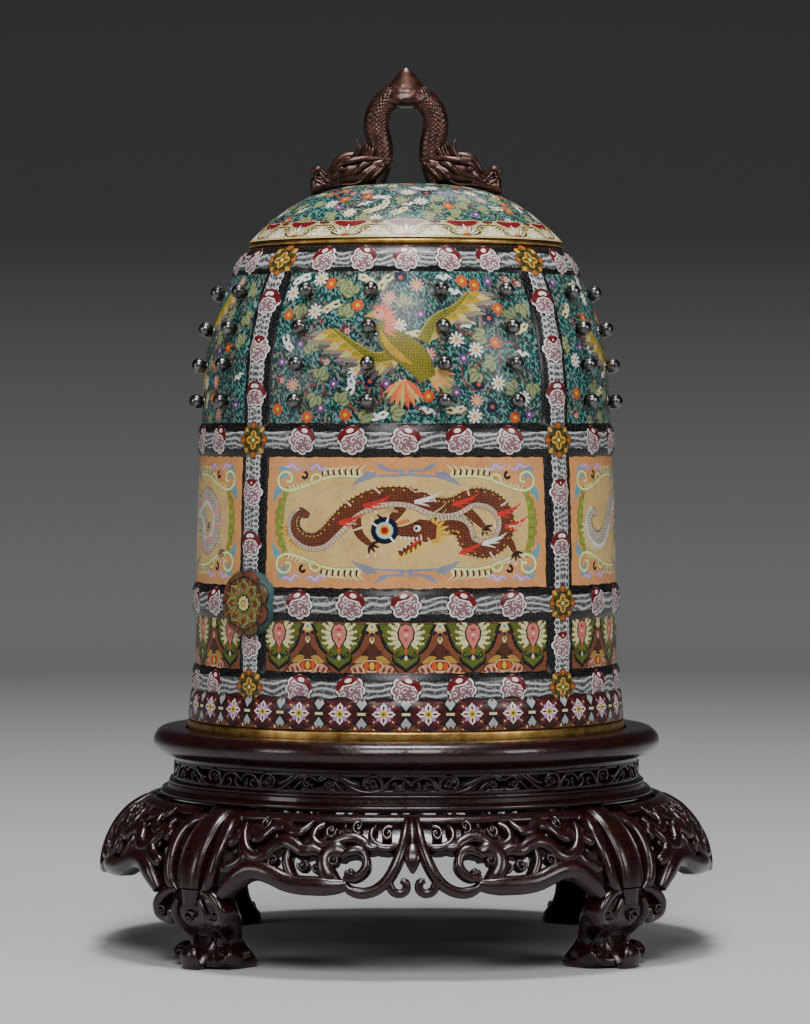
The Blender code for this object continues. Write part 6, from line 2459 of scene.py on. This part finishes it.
def eye(target, x, z, radius, start, turns, width, lay, proud=0.8, deep=5.0):
    """A spiral eye with a small boss in its middle."""
    path = curl_path(x, z, radius, start, turns, 11, 0.32)
    strand(target, path, lambda share: width * (1 - 0.35 * share), lay, proud, deep)
    knob(target, x, z, radius * 0.30, lay, proud)


def knob(target, x, z, radius, lay, proud=0.8):
    made = bmesh.ops.create_icosphere(target, subdivisions=1, radius=1.0)["verts"]
    for vertex in made:
        px, py, pz = vertex.co
        vertex.co = Vector(lay(x + px * radius, z + py * radius, proud + pz * radius)) * MM


def stand_point(azimuth, radius, z):
    return (radius * math.sin(azimuth), -radius * math.cos(azimuth), z)


# %% The pierced waist
WAIST_RADIUS = 117.0


def waist_lay(lobe, mirror):
    def lay(x, z, out):
        azimuth = STAND_TURN + lobe * math.pi / 4 + mirror * x / WAIST_RADIUS
        return stand_point(azimuth, WAIST_RADIUS - 0.9 - lobe_inset(azimuth) + out, z)

    return lay


waist = bmesh.new()
# Each strand's points, its width and how proud it stands
WAIST_LINES = (
    ([(0.0, 87.6), (1.6, 89.8), (5.0, 91.4), (9.4, 90.8), (12.2, 88.0), (13.8, 84.8)], 1.7, 0.5),
    ([(12.8, 85.2), (9.4, 84.8), (6.8, 86.6), (7.8, 88.6), (9.8, 88.0)], 1.4, 0.2),
    ([(1.0, 84.6), (3.4, 85.6), (4.2, 88.0), (3.0, 89.6)], 1.4, 0.0),
    (
        [(14.2, 84.8), (13.9, 88.2), (15.4, 91.4), (18.6, 92.2), (21.6, 91.0), (22.8, 88.6), (21.4, 86.6)],
        1.9, 0.6,
    ),
    ([(14.6, 85.6), (18.4, 84.5), (23.6, 84.6), (28.6, 86.6), (32.8, 89.8), (37.4, 92.2)], 2.0, 0.4),
    ([(25.2, 87.9), (27.6, 88.4), (31.0, 90.0), (34.4, 92.3)], 2.4, 0.9),
    ([(36.6, 84.6), (39.6, 85.6), (43.0, 85.0), (46.0, 85.8)], 1.6, 0.0),
    ([(36.4, 90.4), (39.4, 91.8), (43.0, 91.6), (45.9, 89.6)], 1.7, 0.4),
    ([(32.6, 84.6), (35.2, 87.2), (38.0, 89.6)], 1.5, 0.1),
)
for lobe in range(STAND_LOBES):
    for mirror in (-1, 1):
        lay = waist_lay(lobe, mirror)
        for points, width, proud in WAIST_LINES:
            strand(waist, smooth_path(points, 3), width, lay, proud, 4.0, 0.5, 0.5)
        eye(waist, 18.6, 88.2, 2.3, 0.4, 1.0, 1.2, lay, 0.2, 3.5)
        eye(waist, 40.6, 88.2, 2.1, 2.0, 1.1, 1.2, lay, 0.3, 3.5)
        knob(waist, 30.4, 86.0, 0.8, lay, 0.3)
for low, high in ((MOULDING_TOP + GAP, 84.9), (91.9, WAIST_TOP)):
    ring_steps = 160
    corner_rings = []
    for i in range(ring_steps):
        azimuth = 2 * math.pi * i / ring_steps
        reach = WAIST_RADIUS - lobe_inset(azimuth)
        corner_rings.append(
            [
                waist.verts.new(Vector(stand_point(azimuth, r, z)) * MM)
                for r, z in ((reach, low), (reach, high), (reach - 5, high), (reach - 5, low))
            ]
        )
    for i in range(ring_steps):
        here, there = corner_rings[i], corner_rings[(i + 1) % ring_steps]
        for k in range(4):
            waist.faces.new((here[k], here[(k + 1) % 4], there[(k + 1) % 4], there[k]))
finished_carving(waist, "wood_waist", wood, "wood", 50, "stand_waist")

# %% The skirt's curved face
SKIRT_ROOT = 115.0
SKIRT_BULGE = 38.0
SKIRT_KNEE = 39.0
LEG_HALF_ANGLE = math.radians(7.4)


def skirt_lay(middle, mirror=1):
    """A lay for things on the skirt: across is millimetres at the bulge from a middle azimuth."""

    def lay(x, z, out):
        azimuth = middle + mirror * x / (SKIRT_ROOT + SKIRT_BULGE)
        lean = math.acos(max(0.0, min(1.0, (z - SKIRT_KNEE) / SKIRT_BULGE)))
        face = SKIRT_ROOT + SKIRT_BULGE * math.sin(lean) - 1.4 - lobe_inset(azimuth)
        radius = face + out * math.sin(lean)
        height = z + out * math.cos(lean)
        return stand_point(azimuth, radius, min(height, SKIRT_TOP))

    return lay


# %% The pierced aprons
APRON_REACH = (math.pi / 4 - LEG_HALF_ANGLE) * (SKIRT_ROOT + SKIRT_BULGE) - 0.4
# Each strand's points, its width and how proud it stands
APRON_LINES = (
    (
        [
            (2.5, 74.2), (3.0, 70.0), (4.2, 64.0), (6.4, 57.6), (9.4, 51.0), (13.0, 45.6), (18.0, 41.8),
            (24.0, 40.4), (29.6, 41.6), (33.2, 44.8),
        ],
        5.4, 0.8,
    ),
    (
        [(10.6, 50.0), (11.2, 45.0), (9.4, 41.2), (5.8, 40.2), (3.2, 42.0), (3.4, 45.2), (5.8, 46.4)], 4.2,
        0.2,
    ),
    (
        [
            (33.0, 47.2), (28.6, 47.0), (24.6, 49.2), (22.4, 53.0), (23.4, 57.2), (27.0, 59.4),
            (31.6, 58.6), (34.6, 56.2),
        ],
        4.6, 1.2,
    ),
    ([(27.6, 47.4), (29.8, 49.2), (28.8, 51.4)], 3.4, 0.6),
    ([(32.0, 58.0), (38.0, 60.2), (42.6, 58.2), (43.4, 53.6), (41.0, 48.6), (36.6, 45.2)], 8.6, -0.4),
    (
        [
            (31.5, 44.4), (37.0, 43.4), (46.0, 43.4), (55.0, 43.6), (62.0, 44.8), (69.0, 47.4),
            (76.0, 49.4), (83.0, 49.0), (89.0, 45.6), (94.0, 41.0), (98.0, 36.4),
        ],
        9.4, 0.2,
    ),
    ([(7.4, 61.6), (12.0, 60.8), (17.0, 61.6), (20.4, 64.2), (21.0, 67.6), (18.6, 70.2)], 3.6, 0.4),
    (
        [
            (16.0, 61.6), (21.0, 61.0), (25.0, 63.4), (30.0, 65.2), (36.0, 64.6), (41.0, 62.0),
            (46.0, 61.2), (50.6, 63.8), (50.4, 68.4), (47.0, 70.6),
        ],
        4.6, 0.5,
    ),
    (
        [
            (43.0, 57.0), (49.0, 59.4), (55.0, 59.2), (60.0, 61.4), (65.6, 62.8), (71.0, 60.6),
            (75.0, 56.4), (80.0, 55.0), (86.0, 57.8), (90.0, 63.0), (93.0, 69.0),
        ],
        6.4, 0.3,
    ),
    (
        [
            (54.0, 72.0), (58.0, 68.0), (64.0, 67.8), (69.0, 70.2), (75.0, 69.2), (79.0, 65.2),
            (84.0, 63.6), (88.0, 66.4),
        ],
        4.6, 0.1,
    ),
    ([(62.4, 60.4), (63.2, 55.4), (61.0, 50.0), (58.6, 46.6)], 4.6, 0.0),
    ([(85.6, 57.4), (88.6, 53.0), (93.0, 50.6), (98.8, 49.0)], 6.6, 0.0),
    ([(91.4, 66.0), (95.0, 62.6), (98.8, 61.4)], 5.6, 0.0),
)
# Each eye's place, radius, start, turns and width
APRON_EYES = (
    (38.4, 55.4, 3.5, 2.6, -1.2, 1.8), (46.6, 51.8, 3.1, 1.6, 1.2, 1.7), (53.4, 52.8, 3.0, 0.2, -1.2, 1.7),
    (42.6, 67.8, 3.0, 3.0, 1.1, 1.7),
    (28.6, 69.8, 3.2, 4.2, 1.1, 1.7), (12.6, 66.8, 3.3, 2.2, -1.1, 1.7), (69.6, 54.2, 2.9, 5.0, 1.1, 1.6),
    (80.6, 70.2, 3.0, 0.8, -1.1, 1.6),
)


def ground_edge(x):
    """The lower edge of the solid wood behind the upper strands."""
    return 63.4 + 2.6 * math.cos(x / 5.1) + 1.2 * math.sin(x / 2.3)


def apron_ground(target, lay):
    """A thinner curved board behind the upper strands, down to a wavy edge."""
    columns, rows = 56, 5
    grid = {}
    for i in range(columns + 1):
        x = -APRON_REACH + 2 * APRON_REACH * i / columns
        low = ground_edge(abs(x))
        for j in range(rows + 1):
            z = low + (SKIRT_TOP - low) * j / rows
            for face, out in (("front", -3.0), ("back", -6.5)):
                grid[i, j, face] = target.verts.new(Vector(lay(x, z, out)) * MM)
    for i in range(columns):
        for j in range(rows):
            for face in ("front", "back"):
                target.faces.new(
                    (grid[i, j, face], grid[i + 1, j, face], grid[i + 1, j + 1, face], grid[i, j + 1, face])
                )
    for i in range(columns):
        for j in (0, rows):
            target.faces.new(
                (grid[i, j, "front"], grid[i + 1, j, "front"], grid[i + 1, j, "back"], grid[i, j, "back"])
            )
    for j in range(rows):
        for i in (0, columns):
            target.faces.new(
                (grid[i, j, "front"], grid[i, j + 1, "front"], grid[i, j + 1, "back"], grid[i, j, "back"])
            )


def carve_apron(target, middle):
    both = skirt_lay(middle)
    strand(
        target, [(-APRON_REACH + 2 * APRON_REACH * i / 60, 73.4) for i in range(61)], 3.2, both, 0.0, 6.0,
    )
    apron_ground(target, both)
    for mirror in (-1, 1):
        lay = skirt_lay(middle, mirror)
        for points, width, proud in APRON_LINES:
            held = [(min(px, APRON_REACH), pz) for px, pz in points]
            strand(target, smooth_path(held, 5), width, lay, proud, 6.0, 0.55, 0.55)
        for x, z, radius, start, turns, width in APRON_EYES:
            eye(target, x, z, radius, start, turns, width, lay, 0.7, 5.0)
        for x, z, radius in ((31.6, 49.6, 1.8), (71.6, 65.0, 1.4), (35.6, 70.2, 1.3), (92.4, 57.2, 1.5)):
            knob(target, x, z, radius, lay, -0.4)
        strand(target, [(0.6, 74.4), (3.4, 75.0), (7.6, 75.0)], 1.6, lay, 0.8, 3.0)
    # the pendant on the crease
    strand(target, smooth_path([(0, 74.0), (0, 68.0), (0, 62.4)], 4), 3.0, both, 0.6, 5.0)
    pendant = bmesh.ops.create_icosphere(target, subdivisions=3, radius=1.0)["verts"]
    for vertex in pendant:
        px, py, pz = vertex.co
        point = 1 - 0.45 * abs(py)
        vertex.co = Vector(both(px * 4.4 * point, 56.6 + py * 7.4, 0.4 + pz * 2.6 * point)) * MM


for index in range(4):
    apron = bmesh.new()
    carve_apron(apron, STAND_TURN + index * math.pi / 2)
    finished_carving(apron, f"wood_apron_{index + 1}", wood, "wood", 50, f"stand_apron_{index + 1}")

# %% [markdown]
# ## The stand: legs
#
# Each leg carries a broad grooved strap over its knee, with a hollow and a branch on either
# side of it. Below the aprons it narrows to a neck, spreads into scrolls, and ends in a foot
# whose toe curls up. The core and the strap are lofts of sections, and the branches and the
# scrolls are strands.

# %% A leg
# Each level's height, its outer and inner radius, and its half width
LEG_LEVELS = (
    (74.9, 122.0, 113.0, 13.0), (70.0, 133.0, 113.5, 15.0), (62.0, 139.5, 116.0, 16.0),
    (52.0, 143.0, 124.0, 16.5), (44.0, 145.0, 130.0, 17.0),
    (38.0, 147.0, 132.5, 18.0), (33.0, 148.5, 133.0, 19.5), (29.0, 149.0, 131.5, 20.5),
    (25.0, 148.5, 129.0, 20.5), (21.0, 146.0, 126.5, 18.5),
    (17.5, 141.5, 123.5, 14.5), (14.0, 138.4, 121.0, 12.6), (10.5, 138.4, 118.8, 12.6),
    (7.6, 140.6, 117.0, 14.6), (4.6, 142.4, 114.8, 16.6),
    (1.6, 142.0, 113.6, 17.2), (0.0, 140.4, 114.6, 16.2),
)


def leg_core(target, azimuth):
    rings = []
    for z, outer, inner, half in LEG_LEVELS:
        ring = []
        for k in range(24):
            turn = 2 * math.pi * k / 24
            sine, cosine = math.sin(turn), math.cos(turn)
            along = half * math.copysign(abs(cosine) ** 0.7, cosine)
            out = (outer + inner) / 2 + (outer - inner) / 2 * math.copysign(abs(sine) ** 0.7, sine)
            if z > 31:
                limit = out * math.tan(LEG_HALF_ANGLE)
                along = max(-limit, min(limit, along))
            point = Vector(
                (
                    out * math.sin(azimuth) + along * math.cos(azimuth),
                    -out * math.cos(azimuth) + along * math.sin(azimuth), z,
                )
            )
            ring.append(target.verts.new(point * MM))
        rings.append(ring)
    join_rings(target, rings)
    target.faces.new(rings[0])
    target.faces.new(rings[-1])


def knee_radius(z):
    """The outer radius of the leg's strap at a height."""
    if z >= SKIRT_KNEE:
        lean = math.acos(min(1.0, (z - SKIRT_KNEE) / SKIRT_BULGE))
        return SKIRT_ROOT + SKIRT_BULGE * math.sin(lean) - LOBE_DEPTH
    table = (
        (39.0, 150.8), (30.0, 150.8), (24.0, 149.6), (19.0, 145.0), (15.0, 139.6), (11.0, 138.6),
        (7.0, 141.4), (3.0, 142.8), (0.0, 140.6),
    )
    for (high, a), (low, b) in zip(table, table[1:]):
        if z >= low:
            return b + (a - b) * (z - low) / (high - low)
    return table[-1][1]


def leg_lay(azimuth, mirror=1):
    def lay(x, z, out):
        radius = knee_radius(z) + out
        slope = knee_radius(z + 0.5) - knee_radius(z - 0.5)
        height = max(0.0, min(SKIRT_TOP - 0.1, z - out * slope * 0.5))
        return (
            radius * math.sin(azimuth) + mirror * x * math.cos(azimuth),
            -radius * math.cos(azimuth) + mirror * x * math.sin(azimuth),
            height,
        )

    return lay


def strap(target, azimuth, heights, half_top, half_middle, half_end, proud):
    """A broad strap down the knee, with a double groove inside each edge."""
    section = (
        (-1, -9), (-1, 0.5), (-0.95, 1.1), (-0.86, 1.3), (-0.82, 0.95), (-0.77, 1.4), (-0.4, 2.0), (0, 2.2),
    )
    section += tuple((-a, b) for a, b in reversed(section[:-1]))
    lay = leg_lay(azimuth)
    rings = []
    for i, z in enumerate(heights):
        share = i / (len(heights) - 1)
        swell = (half_middle - half_top) * math.sin(math.pi * share)
        half = half_top + (half_end - half_top) * share + swell
        rings.append([target.verts.new(Vector(lay(half * a, z, b + proud)) * MM) for a, b in section])
    join_rings(target, rings)
    target.faces.new(rings[0])
    target.faces.new(rings[-1])


# Each strand's points, its width and how proud it stands
LEG_LINES = (
    (
        [
            (7.0, 72.6), (11.6, 70.6), (15.0, 66.4), (15.8, 60.0), (15.4, 53.0), (14.6, 46.0), (12.4, 40.0),
            (8.6, 36.4),
        ],
        6.4, -1.6,
    ),
    (
        [
            (10.0, 37.6), (15.0, 36.0), (19.6, 32.6), (22.2, 28.0), (21.0, 23.4), (17.0, 21.6),
            (13.6, 23.6), (14.2, 27.0),
        ],
        5.2, -1.0,
    ),
    (
        [
            (7.6, 33.0), (10.6, 26.0), (10.2, 19.6), (8.8, 14.0), (9.8, 8.6), (13.0, 5.4), (16.4, 5.4),
            (17.4, 8.4), (15.0, 10.2),
        ],
        4.6, -1.0,
    ),
)


def carve_leg(target, azimuth):
    leg_core(target, azimuth)
    strap(target, azimuth, [74.6, 73, 71, 68.5, 65.5, 62, 58, 54, 50, 46, 42, 38.6], 6.6, 8.0, 6.9, -1.4)
    strap(target, azimuth, [37.8, 35.6, 33, 30.6], 6.7, 6.6, 5.0, -1.9)
    for mirror in (-1, 1):
        lay = leg_lay(azimuth, mirror)
        for points, width, proud in LEG_LINES:
            strand(target, smooth_path(points, 5), width, lay, proud, 7.0, 0.6, 0.5)
        knob(target, 12.2, 57.6, 1.9, lay, -5.0)
        eye(target, 18.4, 26.6, 2.6, 0.6, 1.0, 1.3, lay, 0.0, 4.0)
        eye(target, 14.2, 7.2, 2.2, 0.6, 1.0, 1.2, lay, 0.0, 3.0)
    front = leg_lay(azimuth)
    eye(target, 0, 24.6, 3.6, 0.0, 1.0, 1.5, front, 0.2, 3.0)
    # the toe rises from the front of the foot and curls back
    toe = [
        (0, 13.0, -3.0), (0, 8.0, -1.0), (0, 4.4, 1.6), (0, 2.6, 4.6), (0, 4.4, 7.2), (0, 7.2, 7.0),
        (0, 7.8, 4.8),
    ]
    path = curved([front(x, z, out) for x, z, out in toe], 5)
    side_way = (math.cos(azimuth), math.sin(azimuth), 0)
    tube_into(target, path, fading(len(path), 3.2, 1.3, 0.6), 12, 2.3, None, side_way)
    for k in (-1, 1):
        pad = [
            front(k * 3.0, 3.4, 0.6), front(k * 9.0, 2.8, -1.6), front(k * 15.0, 2.6, -7.0),
            front(k * 17.6, 2.6, -15.0),
        ]
        path = curved(pad, 5)
        tube_into(target, path, fading(len(path), 2.4, 2.3, 0.2), 10, 1.0, None, (0, 0, 1))


for index in range(4):
    leg = bmesh.new()
    carve_leg(leg, STAND_TURN + math.pi / 4 + index * math.pi / 2)
    for vertex in leg.verts:
        vertex.co.z = max(0.0, vertex.co.z)
    finished_carving(leg, f"wood_leg_{index + 1}", wood, "wood", 50, f"stand_leg_{index + 1}")
